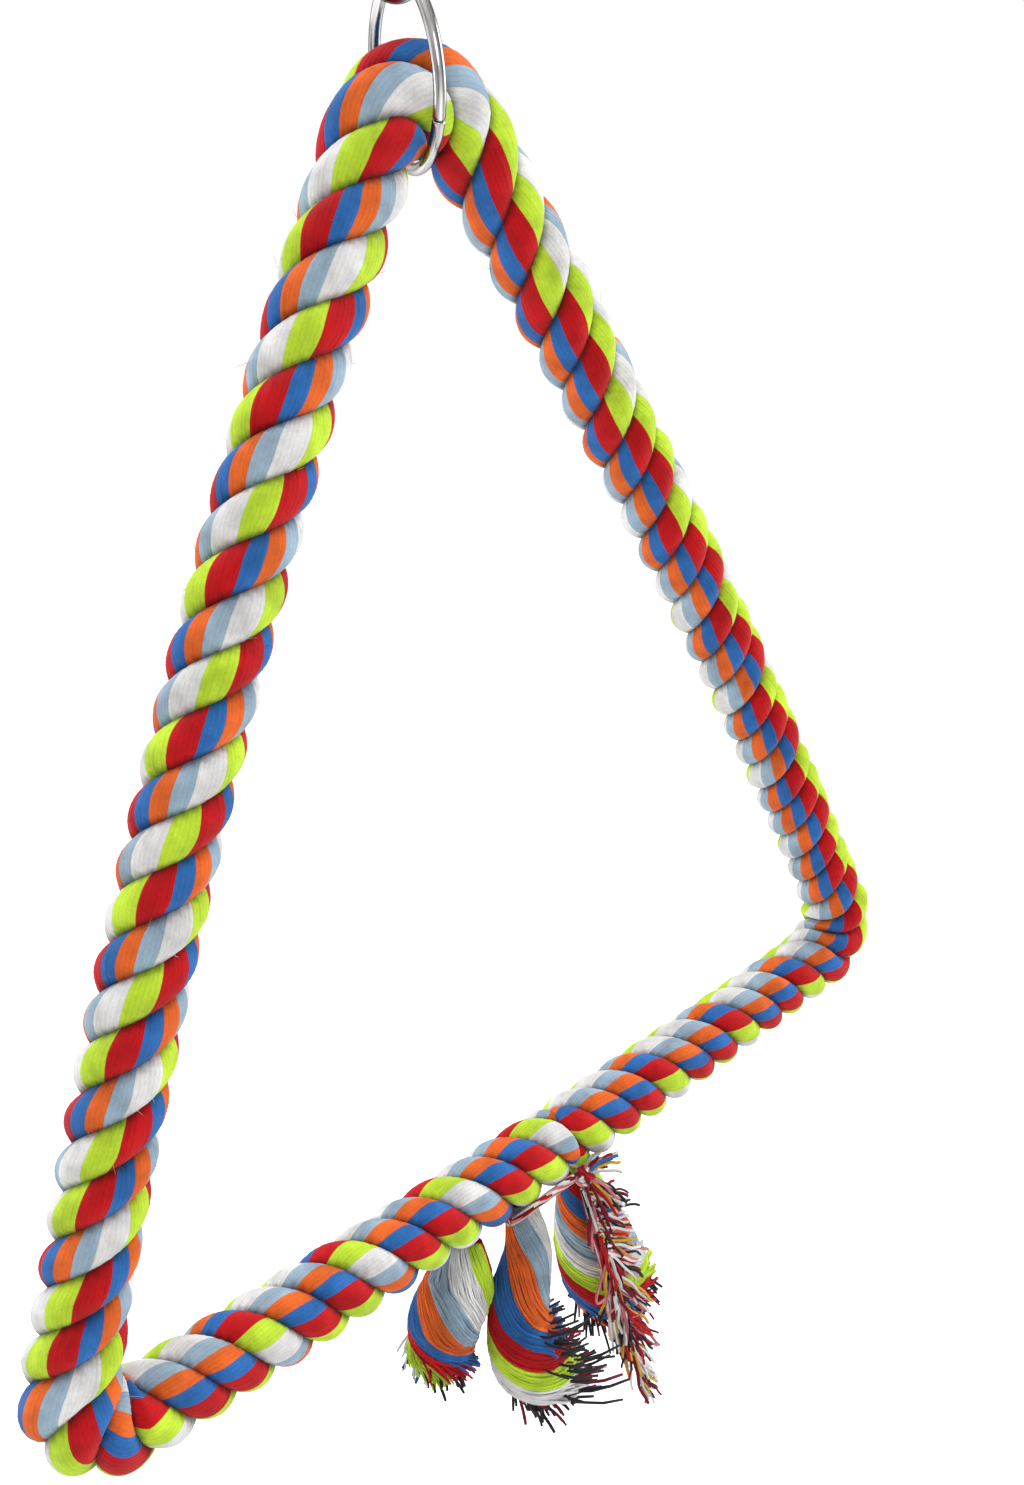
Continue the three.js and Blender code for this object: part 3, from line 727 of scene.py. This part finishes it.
# The rope is dented where the ring's wire bears on it through the whole swing: each point of a strand
# stays on its centre's side of the wire
def press_under_ring(rings):
    along, normal, centre = ring_frame()
    hinge = centre - np.array([0, 0, RING_RADIUS])
    near = np.linalg.norm(rings.mean(axis=1) - hinge, axis=1) < 2 * RING_RADIUS
    middle = rings[near].mean(axis=1, keepdims=True)
    spoke = rings[near] - middle
    reach = np.ones(spoke.shape[:2])
    step = (1 - DENT_LEAST) / (DENT_TRIES - 1)
    for angle in np.radians(np.linspace(-SWING_DEG, SWING_DEG, SWING_STEPS)):
        turn = np.array(Matrix.Rotation(angle, 3, Vector(along)))
        for share in np.linspace(1, DENT_LEAST, DENT_TRIES):
            swung = (middle + spoke * share - hinge) @ turn.T + hinge - centre
            wire = RING_RADIUS * unit(swung - (swung @ normal)[..., None] * normal)
            touched = np.linalg.norm(swung - wire, axis=-1) < RING_WIRE / 2 + RING_PLAY
            reach = np.where(touched, np.minimum(reach, share - step), reach)
    for _ in range(DENT_PASSES):
        reach[1:] = np.minimum(reach[1:], reach[:-1] + DENT_SLOPE)
        reach[:-1] = np.minimum(reach[:-1], reach[1:] + DENT_SLOPE)
    rings[near] = middle + spoke * reach[..., None]
    return rings


# Where the normal plane of the rope cuts a strand, at angle phi round the strand from its inner side
def strand_section(radius, phi):
    orbit = ROPE_DIAMETER / 2 - STRAND_RADIUS
    lead = LAY_PITCHES[0] / (2 * np.pi)
    slant = math.hypot(orbit, lead)
    turn = -radius * np.sin(phi) * orbit / (lead * slant)
    tilt = np.sin(phi) * lead / slant
    a = orbit * np.cos(turn) + radius * (-np.cos(phi) * np.cos(turn) + tilt * np.sin(turn))
    b = orbit * np.sin(turn) + radius * (-np.cos(phi) * np.sin(turn) - tilt * np.cos(turn))
    return a, b


# A slow seeded waver between about -1 and 1
def waver(rng, s, wavelengths):
    return sum(np.sin(2 * np.pi * (s / w + rng.random())) for w in wavelengths) / len(wavelengths)


# Angle round the strand of a yarn that is at an even angle in the strand's own section:
# the slanted cut through the strand crowds the yarns towards its outer face
def crowded(even):
    from_face = np.linspace(-np.pi, np.pi, 721)
    in_section = from_face + YARN_CROWDING * np.sin(from_face)
    return np.pi + np.interp((even % (2 * np.pi)) - np.pi, in_section, from_face)


def strand_rings(stations, number, rng):
    s = stations["s"]
    yarns = sum(count for _, count in BANDS)
    columns = np.arange(yarns * YARN_COLUMNS)
    slip_at, slip = np.array(SLIPS[number], float).T
    slips = np.interp(s, slip_at, slip)
    twist = np.radians(slips) - YARN_LAY * stations["turn"]
    spot = np.radians(FIRST_YARN + 360.0 * columns / len(columns))
    phi = spot[None] + twist[:, None] + TWIST_WAVER * waver(rng, s, (9, 17, 31))[:, None]
    phi = crowded(phi)
    # Weight of the painted shade: none on the strand's outer face, full where it meets its neighbours
    depth = smoothstep((np.abs(phi - np.pi) - GROOVE_FROM) / (GROOVE_TO - GROOVE_FROM))
    shape = np.tile(YARN_SHAPE, yarns)
    yarn_size = np.stack([waver(rng, s, (23, 37, 61)) for _ in range(yarns)], axis=1)
    swell = 1 + STRAND_WAVER * waver(rng, s, (14, 25, 43))
    radius = STRAND_RADIUS * swell[:, None] - YARN_RELIEF + shape[None] * YARN_RELIEF
    radius = radius + YARN_WAVER * np.repeat(yarn_size, YARN_COLUMNS, axis=1) * (shape[None] + 0.3)
    a, b = strand_section(radius * stations["dome"][:, None], phi)
    turn = (stations["turn"] + 2 * np.pi * number / STRANDS)[:, None]
    girth = stations["girth"][:, None]
    outward = girth * (a * np.cos(turn) - b * np.sin(turn))
    front = girth * (a * np.sin(turn) + b * np.cos(turn))
    at, tangent = stations["at"], stations["tangent"]
    x = at[:, :1] - tangent[:, 1:] * outward + APEX_OFFSET
    z = at[:, 1:] + tangent[:, :1] * outward + APEX_Z
    return press_under_ring(np.stack([x, -front, z], axis=-1)), depth


def strand_colours():
    names = [name for name, _ in BANDS]
    return names, np.repeat(np.arange(len(BANDS)), [count * YARN_COLUMNS for _, count in BANDS])


# Loose fibre ends that stand off the strand, rubbed away where the ring swings over it
def strand_fuzz(rings, colours, rng):
    hairs = []
    count, sides = rings.shape[:2]
    middle = rings.mean(axis=1)
    ring_centre = ring_frame()[2]
    for _ in range(FUZZ):
        i = rng.integers(8, count - 8)
        j = rng.integers(sides)
        root = rings[i, j]
        outward = unit(root - middle[i])
        along = unit(rings[i + 1, j] - root) * rng.choice((-1, 1))
        length = rng.uniform(*FUZZ_LENGTH)
        lean = rng.uniform(0.2, 1.1)
        sway = unit(np.cross(outward, along)) * rng.uniform(-0.6, 0.6)
        t = np.linspace(-0.1, 1, 5)[:, None]
        rise = outward * t * (1.2 - lean * t * 0.6) * 0.7
        path = root + length * (rise + along * lean * t + sway * t ** 2)
        if np.linalg.norm(root - ring_centre) > 2 * RING_RADIUS:
            hairs.append(tube(path, np.linspace(*FUZZ_RADIUS, len(path)), 3, int(colours[j])))
    return hairs


def rope():
    stations = rope_stations()
    names, colours = strand_colours()
    materials = [LAID_COTTON[name] for name in names]
    across = np.arange(len(colours) + 1) / YARN_COLUMNS
    for number in range(STRANDS):
        rng = np.random.default_rng(SEED + number)
        rings, depth = strand_rings(stations, number, rng)
        # The strand keeps its weights for the painted groove shade
        body = sweep(rings, colours, stations["s"] / YARN_WIDTH, across, BAKE_ROWS, depth)
        hairs = strand_fuzz(rings, colours, rng)
        make_piece(f"strand_{number + 1}", [body] + hairs, materials, "perch",
                   [f"rope_strand_{number + 1}"])


# Ring, quick link and nut

def ring():
    along, axis, centre = ring_frame()
    up = np.array([0.0, 0.0, 1.0])
    gap = RING_BUTT_GAP / RING_RADIUS
    edge, taper = np.array(RING_BUTT_EDGE).T
    edge = edge / RING_RADIUS
    whole = np.linspace(3 * edge[-1], 2 * np.pi - gap - 3 * edge[-1], RING_STEPS)
    turns = RING_BUTT + gap / 2 + np.r_[edge, whole, 2 * np.pi - gap - edge[::-1]]
    size = np.r_[taper, np.ones(RING_STEPS), taper[::-1]]
    angle = 2 * np.pi * np.arange(WIRE_SIDES) / WIRE_SIDES
    outward = np.cos(turns)[:, None] * along + np.sin(turns)[:, None] * up
    wire = RING_WIRE / 2 * size[:, None, None]
    rings = centre + RING_RADIUS * outward[:, None] + wire * (
        np.cos(angle)[:, None] * outward[:, None] + np.sin(angle)[:, None] * axis)
    make_piece("hang_ring", [sweep(rings)], [STEEL], "ring", ["ring"])


# Stations of the link's wire from the stub's top, round the bottom, up the left and over to the gate
def link_path():
    stub = np.arange(STUB_TOP, LINK_BOTTOM, -LINK_STEP)
    gate = GATE_TOP + np.arange(0, THREAD_REACH, LINK_STEP)[::-1]
    bottom = -np.linspace(0, np.pi, LINK_BEND_STEPS)
    top = np.pi + bottom
    bends = [np.column_stack([LINK_SIDE * np.cos(a), centre + LINK_SIDE * np.sin(a)])
             for centre, a in ((LINK_BOTTOM, bottom), (LINK_TOP, top))]
    straights = [np.column_stack([np.full(len(z), LINK_SIDE), z]) for z in (stub, gate)]
    places = [straights[0], *bends, straights[1]]
    angles = [np.zeros(len(stub)), bottom, top, np.zeros(len(gate))]
    threaded = [np.ones(len(stub)), np.zeros(len(bottom) + len(top)), np.ones(len(gate))]
    return np.vstack(places), np.concatenate(angles), np.concatenate(threaded)


def quick_link():
    at, angle, threaded = link_path()
    sides = 2 * np.pi * np.arange(WIRE_SIDES) / WIRE_SIDES
    phase = at[:, 1:] / THREAD_PITCH - sides / (2 * np.pi)
    ridge = np.abs(2 * (phase % 1) - 1)
    fade = smoothstep((GATE_TOP + THREAD_REACH - at[:, 1:]) / THREAD_FADE)
    wire = LINK_WIRE / 2 - THREAD_DEPTH * ridge * threaded[:, None] * fade
    from_end = np.minimum(np.arange(len(at)), np.arange(len(at))[::-1])[:, None]
    wire = np.minimum(wire, LINK_WIRE / 2 - LINK_END_BEVEL + LINK_STEP * from_end)
    x = at[:, :1] + np.cos(angle)[:, None] * wire * np.cos(sides)
    z = at[:, 1:] + np.sin(angle)[:, None] * wire * np.cos(sides)
    rings = np.stack([x, -wire * np.sin(sides), z], axis=-1)
    make_piece("link_wire", [sweep(rings)], [STEEL], "hanger", ["quick_link"])


# The nut's section runs from its bore out over the lower chamfer, up the flats and back down the bore
def nut_points():
    angle = 2 * np.pi * np.arange(NUT_SIDES) / NUT_SIDES
    apothem = NUT_FLATS / 2
    corner = (angle + np.pi / 6) % (np.pi / 3) - np.pi / 6
    worn = apothem / math.cos(math.pi / 6) - NUT_CORNER_WEAR
    hexagon = np.minimum(apothem / np.cos(np.pi / 6 - np.abs(corner)), worn)
    rise = np.array([0.0, 0.25, 0.5, 0.75, 1.0, 2.0])
    cone = apothem - NUT_CHAMFER_INSET + rise[:, None] * NUT_CHAMFER_SLOPE
    bore = np.full(NUT_SIDES, NUT_BORE / 2)
    half = [(bore, NUT_BEVEL), (bore + NUT_BEVEL, 0.0), *zip(np.minimum(cone, hexagon), rise)]
    profile = half + [(radius, NUT_LENGTH - height) for radius, height in half[::-1]]
    radius = np.array([r for r, _ in profile])
    height = np.array([h for _, h in profile])[:, None] + np.zeros(NUT_SIDES)
    x = LINK_SIDE + radius * np.cos(angle)
    return np.stack([x, radius * np.sin(angle), LINK_BOTTOM + height], axis=-1)


def link_nut():
    points = nut_points()
    loops, sides = points.shape[:2]
    faces = []
    for i in range(loops):
        for j in range(sides):
            a, b = i * sides + j, i * sides + (j + 1) % sides
            c, d = (i + 1) % loops * sides + (j + 1) % sides, (i + 1) % loops * sides + j
            faces.append((a, d, c, b))
    mesh = bpy.data.meshes.new("link_nut")
    mesh.from_pydata([tuple(p) for p in points.reshape(-1, 3) * MM], [], faces)
    mesh.polygons.foreach_set("use_smooth", np.ones(len(faces), bool))
    mesh.set_sharp_from_angle(angle=math.radians(28))
    mesh.materials.append(NUT_STEEL)
    piece = bpy.data.objects.new("link_nut", mesh)
    bpy.context.scene.collection.objects.link(piece)
    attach(piece, "nut")
    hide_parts("quick_link_nut")


# Strand tails

def tail_axes(path):
    ahead, first = path_start(path)
    across = carried(np.cross(ahead[0], first), ahead)
    return across, np.cross(ahead, across)


def below_joint(x, y, z):
    return np.array([APEX_OFFSET + JOINT_X + x, y, APEX_Z - TRIANGLE_RISE - PERCH_SAG + z])


def tail_stations(route, radii, turns):
    line = smooth_line(np.array(route, float)) + below_joint(0, 0, -ROPE_DIAMETER / 2 - TAIL_SEAT)
    length = np.r_[0, np.cumsum(np.linalg.norm(np.diff(line, axis=0), axis=1))]
    share = np.linspace(0, 1, TAIL_STEPS)
    at = np.column_stack([np.interp(share, length / length[-1], line[:, k]) for k in range(3)])
    across, up = tail_axes(at)
    return {
        "share": share, "at": at, "across": across, "up": up,
        "radius": evenly(radii, share), "turn": np.radians(evenly(turns, share)),
    }


# The cut end of a yarn runs on the way the yarn was going and sinks towards the way the ends lie
def cut_end(held, lie, length, rng):
    first = unit(held[-1] - held[-2])
    spread = END_SPREAD * (1 + np.linalg.norm(lie))
    later = unit(first + np.array(lie) + spread * rng.normal(size=3))
    t = np.linspace(0, 1, 8)[1:, None]
    return held[-1] + length * (first * (t - t ** 2 / 2) + later * t ** 2 / 2)


# One yarn of a tail, at a share of the tail's radius and an angle from the tail's first bundle
def tail_yarn(stations, reach, angle, width, ends, rng, colour=0):
    release, lengths, lie = ends
    share = stations["share"]
    turn = stations["turn"] + math.radians(angle) + 0.05 * waver(rng, share, (0.3, 0.55, 0.9))
    half = width * rng.uniform(0.85, 1.15) / 2
    out = stations["radius"] * reach * (1 + 0.04 * waver(rng, share, (0.25, 0.6))) - half
    path = stations["at"] + (out * np.cos(turn))[:, None] * stations["across"] + (
        out * np.sin(turn))[:, None] * stations["up"]
    stop = int(np.searchsorted(share, rng.uniform(*release)))
    free = cut_end(path[:stop], lie, rng.uniform(*lengths), rng)
    size = np.r_[half[:stop], np.full(len(free), half[stop])]
    size[:2] *= (0.7, 0.9)
    size[-1] *= 0.85
    yarn = tube(np.vstack([path[:stop], free]), size, 5, colour)
    yarn["along"] = yarn["along"] + rng.uniform(0, 200)
    return yarn


# The core yarns lie inside the bundles and spread out to the rim where the tail is cut
def core_yarn(stations, ends, rng):
    spread = np.interp(stations["share"], CORE_SPREAD_AT, CORE_SPREAD) * rng.uniform(0.35, 1.0)
    width = np.full(TAIL_STEPS, CORE_YARN)
    colour = int(rng.choice(len(CORE_COLOURS), p=CORE_SHARES))
    return tail_yarn(stations, spread, rng.uniform(0, 360), width, ends, rng, colour)


def tail(name, order, route, radii, turns, rng):
    stations = tail_stations(route, radii, turns)
    width = TAIL_YARN_SHARE * stations["radius"]
    for k, colour in enumerate(BUNDLES[::order]):
        yarns = []
        bundle = f"{name}_{colour}"
        ends = ODD_ENDS.get(bundle, BUNDLE_ENDS[name])
        for reach, count in TAIL_LAYERS:
            for m in range(count):
                angle = 360 * (k + (m + 0.5) / count) / len(BUNDLES)
                yarns.append(tail_yarn(stations, reach, angle, width, ends, rng))
        make_piece(f"{bundle}_yarns", yarns, [COTTON[colour]], "perch", [bundle])
    core = [core_yarn(stations, ends, rng) for count, *ends in CORE_ENDS[name] for _ in range(count)]
    make_piece(f"{name}_core_yarns", core, [COTTON[colour] for colour in CORE_COLOURS], "perch",
               [f"{name}_core"])


def tails():
    rng = np.random.default_rng(SEED + 10)
    for spec in TAILS:
        tail(*spec, rng)


# Tie

def tie_piece(name, yarns):
    materials = [COTTON[colour] for colour in TIE_COLOURS]
    make_piece(f"{name}_yarns", yarns, materials, "perch", [name])


def tie_colour(rng):
    return int(rng.choice(len(TIE_COLOURS), p=TIE_SHARES))


def tie_knot_centre():
    low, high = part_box("tie_knot")
    return np.array((low + high) / 2) / MM


# The band's yarns are twisted into a flat cord, which lies on the rope from below up to the knot
def tie_band(rng):
    share = np.linspace(*TIE_BAND_RUN, TIE_BAND_STEPS)
    start, knot_angle = TIE_BAND_DEG
    angle = np.radians(knot_angle + (start - knot_angle) * np.clip(1 - share, 0, 1) ** TIE_BAND_CLIMB)
    end = tie_knot_centre()[0] - TIE_KNOT_SIZE[0] / 2 - TIE_SEAT
    outward = np.column_stack([np.zeros(len(share)), -np.cos(angle), -np.sin(angle)])
    across = np.cross(outward, (1, 0, 0))
    at = outward * TIE_OUT + below_joint(0, 0, 0)
    at[:, 0] = end - TIE_BAND_LENGTH * (1 - share)
    width, thickness = TIE_BAND_SIZE
    yarns = []
    for m in range(TIE_BAND_YARNS):
        turn = 2 * np.pi * (m / TIE_BAND_YARNS + TIE_BAND_TURNS * share)
        turn = turn + 0.25 * waver(rng, share, (0.3, 0.7))
        size = TIE_BAND_YARN / 2
        path = at + across * ((width / 2 - size) * np.cos(turn))[:, None] + outward * (
            (thickness / 2 - size * 0.6) * np.sin(turn))[:, None]
        yarns.append(tube(path, size, 6, TIE_COLOURS.index(TIE_BAND_COLOURS[m])))
    tie_piece("tie_band", yarns)


# A loose yarn end: from a root along a heading, drooping, with a little wave
def loose_end(root, heading, length, droop, rng, steps=12):
    t = np.linspace(0, 1, steps)
    side = unit(np.cross(heading, (0.1, 1.0, 0.2)))
    lift = np.cross(side, heading)
    path = root + heading * (length * t)[:, None] + np.array([0, 0, -1.0]) * (droop * t ** 2)[:, None]
    sway = length * 0.05 * t
    for way in (side, lift):
        path = path + way * (sway * waver(rng, t, (0.6, 1.1)))[:, None]
    size = TIE_YARN / 2 * rng.uniform(0.75, 1.1)
    return tube(path, np.linspace(size, size * 0.85, steps), 5, tie_colour(rng))


# The knot is wound from turns of yarn, with a few short ends on top
def tie_knot(rng):
    centre = tie_knot_centre()
    half = np.array(TIE_KNOT_SIZE) / 2
    yarns = []
    for m in range(TIE_KNOT_TURNS):
        axis = unit(rng.normal(size=3) + np.array([0.9, 0.0, 0.5]))
        one = unit(np.cross(axis, (0.3, 0.2, 1.0)))
        two = np.cross(axis, one)
        turn = np.linspace(0, 2.02 * np.pi, 34)[:, None]
        offset = rng.uniform(-0.55, 0.55)
        loop = (one * np.cos(turn) + two * np.sin(turn)) * math.sqrt(1 - offset ** 2) + axis * offset
        layer = TIE_KNOT_INNER if m < TIE_KNOT_INNER_TURNS else rng.uniform(*TIE_KNOT_OUTER)
        wound = TIE_BAND_COLOURS[m % TIE_BAND_YARNS]
        yarns.append(tube(centre + loop * half * layer, TIE_YARN * 0.55, 6, TIE_COLOURS.index(wound)))
    for way, count in TIE_KNOT_ENDS:
        for _ in range(count):
            heading = unit(np.array(way) + 0.22 * rng.normal(size=3))
            yarns.append(loose_end(centre + heading * 1.5, heading, rng.uniform(*TIE_END_LENGTH), 4, rng))
    tie_piece("tie_knot", yarns)


def stem_route():
    top = tie_knot_centre() - np.array([0, 0, TIE_KNOT_SIZE[2] / 2 + TIE_SEAT])
    lean = np.array([*TIE_STEM_LEAN, -TIE_STEM_LENGTH])
    shares = np.array(((0, 0, 0), (0.1, 1, 0.3), (0.6, 1.2, 0.7), (1, 1, 1), (1.06, 1, 1.08)))
    return smooth_line(top + shares * lean)


# A place on the stem at a share of its length
def stem_at(route, share):
    length = np.r_[0, np.cumsum(np.linalg.norm(np.diff(route, axis=0), axis=1))]
    where = np.asarray(share) * TIE_STEM_LENGTH
    return np.stack([np.interp(where, length, route[:, k]) for k in range(3)], axis=-1)


def stem_loop(route, share, reach):
    t = np.linspace(0, 1, 22)
    bow = np.sin(np.pi * t)
    path = stem_at(route, share + 0.16 * t)
    path[:, 0] += reach * bow
    path[:, 1] -= 3 + 2 * bow
    path[:, 2] -= 5 * bow
    return tube(path, TIE_YARN * 0.35, 5, TIE_COLOURS.index("pink"))


def tie_stem(rng):
    route = stem_route()
    yarns = []
    for m in range(TIE_STEM_YARNS):
        _, reach, end = TIE_PARTS[int(rng.choice(len(TIE_PARTS), p=[part[0] for part in TIE_PARTS]))]
        share = np.linspace(-0.03, end * rng.uniform(0.88, 1.02), 34)
        turn = 2 * np.pi * (m / TIE_STEM_YARNS + 0.35 * share) + 0.3 * waver(rng, share, (0.4, 0.8))
        out = np.interp(share, (0, 1), TIE_STEM_WIDTH) / 2 * rng.uniform(0.35, 1.0)
        path = stem_at(route, share)
        parted = np.clip((share - TIE_STEM_PARTING) / (end - TIE_STEM_PARTING), 0, 1.1)
        path[:, 0] += out * np.cos(turn) + reach * parted ** 1.6
        path[:, 1] += out * np.sin(turn)
        yarns.append(tube(path, TIE_YARN / 2 * rng.uniform(0.75, 1.05), 6, tie_colour(rng)))
    for share in np.linspace(0.0, 0.8, TIE_FRINGE_YARNS):
        heading = unit(np.array([0.3 * rng.normal(), 0.12 * rng.normal() - 0.12, -1.0]))
        root = stem_at(route, share) + np.array([rng.uniform(-1.6, 1.6), -2.6, 0.0])
        yarns.append(loose_end(root, heading, rng.uniform(*TIE_FRINGE_LENGTH), 1.0, rng))
    yarns += [stem_loop(route, share, reach) for share, reach in TIE_LOOPS]
    tie_piece("tie_stem", yarns)


# Side tufts of the fringe, one under the other
def tie_tufts(rng):
    route = stem_route()
    for i in range(TIE_TUFTS):
        share = (i + 0.4) / TIE_TUFTS
        drop = np.radians(np.interp(share, (0, 1), TIE_TUFT_DROP_DEG))
        yarns = []
        for _ in range(TIE_TUFT_YARNS):
            angle = drop + rng.normal() * TIE_TUFT_SPREAD
            aside = rng.normal() * TIE_TUFT_SPREAD
            heading = unit(np.array([math.cos(angle), aside, -math.sin(angle)]))
            root = stem_at(route, share + rng.uniform(-0.08, 0.08)) + np.array(TIE_TUFT_ROOT)
            yarns.append(loose_end(root, heading, TIE_TUFT_LENGTH * rng.uniform(0.75, 1.2), 2.0, rng))
        tie_piece(f"tie_tuft_{i + 1}", yarns)


def tie():
    rng = np.random.default_rng(SEED + 20)
    tie_band(rng)
    tie_knot(rng)
    tie_stem(rng)
    tie_tufts(rng)


# Stage

def camera():
    data = bpy.data.cameras.new("camera")
    data.sensor_fit = "VERTICAL"
    data.sensor_height = CAMERA_SENSOR
    data.lens = CAMERA_LENS
    right, down = Vector(CAMERA_RIGHT), Vector(CAMERA_DOWN)
    back = -right.cross(down)
    turn = Matrix((right, -down, back)).transposed().to_4x4()
    shot = bpy.data.objects.new("camera", data)
    at = Vector((CAMERA_AT[0], CAMERA_AT[1], APEX_Z - CAMERA_BELOW_APEX)) * MM
    shot.matrix_world = Matrix.Translation(at) @ turn
    bpy.context.scene.collection.objects.link(shot)
    bpy.context.scene.camera = shot


def shown_directly(tree):
    rays = node(tree, "ShaderNodeLightPath").outputs
    either = computed(tree, "MAXIMUM", rays["Is Camera Ray"], rays["Is Glossy Ray"])
    return computed(tree, "MAXIMUM", either, rays["Is Transmission Ray"])


def world():
    made = bpy.data.worlds.new("studio")
    made.use_nodes = True
    tree = made.node_tree
    background = tree.nodes["Background"]
    background.inputs["Color"].default_value = (1, 1, 1, 1)
    level = ranged(tree, shown_directly(tree), {"To Min": WORLD_LEVEL, "To Max": 1.0})
    tree.links.new(level, background.inputs["Strength"])
    bpy.context.scene.world = made


def floor():
    half = FLOOR_SIZE / 2
    mesh = bpy.data.meshes.new("floor")
    square = [(-half, -half, 0), (half, -half, 0), (half, half, 0), (-half, half, 0)]
    mesh.from_pydata(square, [], [(0, 1, 2, 3)])
    plane = bpy.data.objects.new("floor", mesh)
    plane.location.z = FLOOR_Z
    bpy.context.scene.collection.objects.link(plane)
    material, tree, shader = blank_material("pale_floor")
    shader.inputs["Base Color"].default_value = (0.82, 0.82, 0.83, 1)
    shader.inputs["Roughness"].default_value = 0.9
    shader.inputs["Emission Color"].default_value = (1, 1, 1, 1)
    glow = ranged(tree, shown_directly(tree), {"To Min": 0.0, "To Max": FLOOR_GLOW})
    tree.links.new(glow, shader.inputs["Emission Strength"])
    mesh.materials.append(material)


def lamp(name, at, size, power):
    data = bpy.data.lights.new(name, "AREA")
    data.shape = "DISK"
    data.size = size
    data.energy = power
    made = bpy.data.objects.new(name, data)
    made.location = at
    made.rotation_euler = (Vector(LAMP_TARGET) - Vector(at)).to_track_quat("-Z", "Y").to_euler()
    bpy.context.scene.collection.objects.link(made)


def lights():
    for spec in LAMPS:
        lamp(*spec)


def finish_cad_nodes():
    kept = frame["nodes"]["core_wire"]
    kept.data.materials.clear()
    kept.data.materials.append(DRAWN_STEEL)


camera()
world()
floor()
lights()
rope()
ring()
quick_link()
link_nut()
tails()
tie()
finish_cad_nodes()

bpy.context.scene.view_settings.view_transform = "Standard"
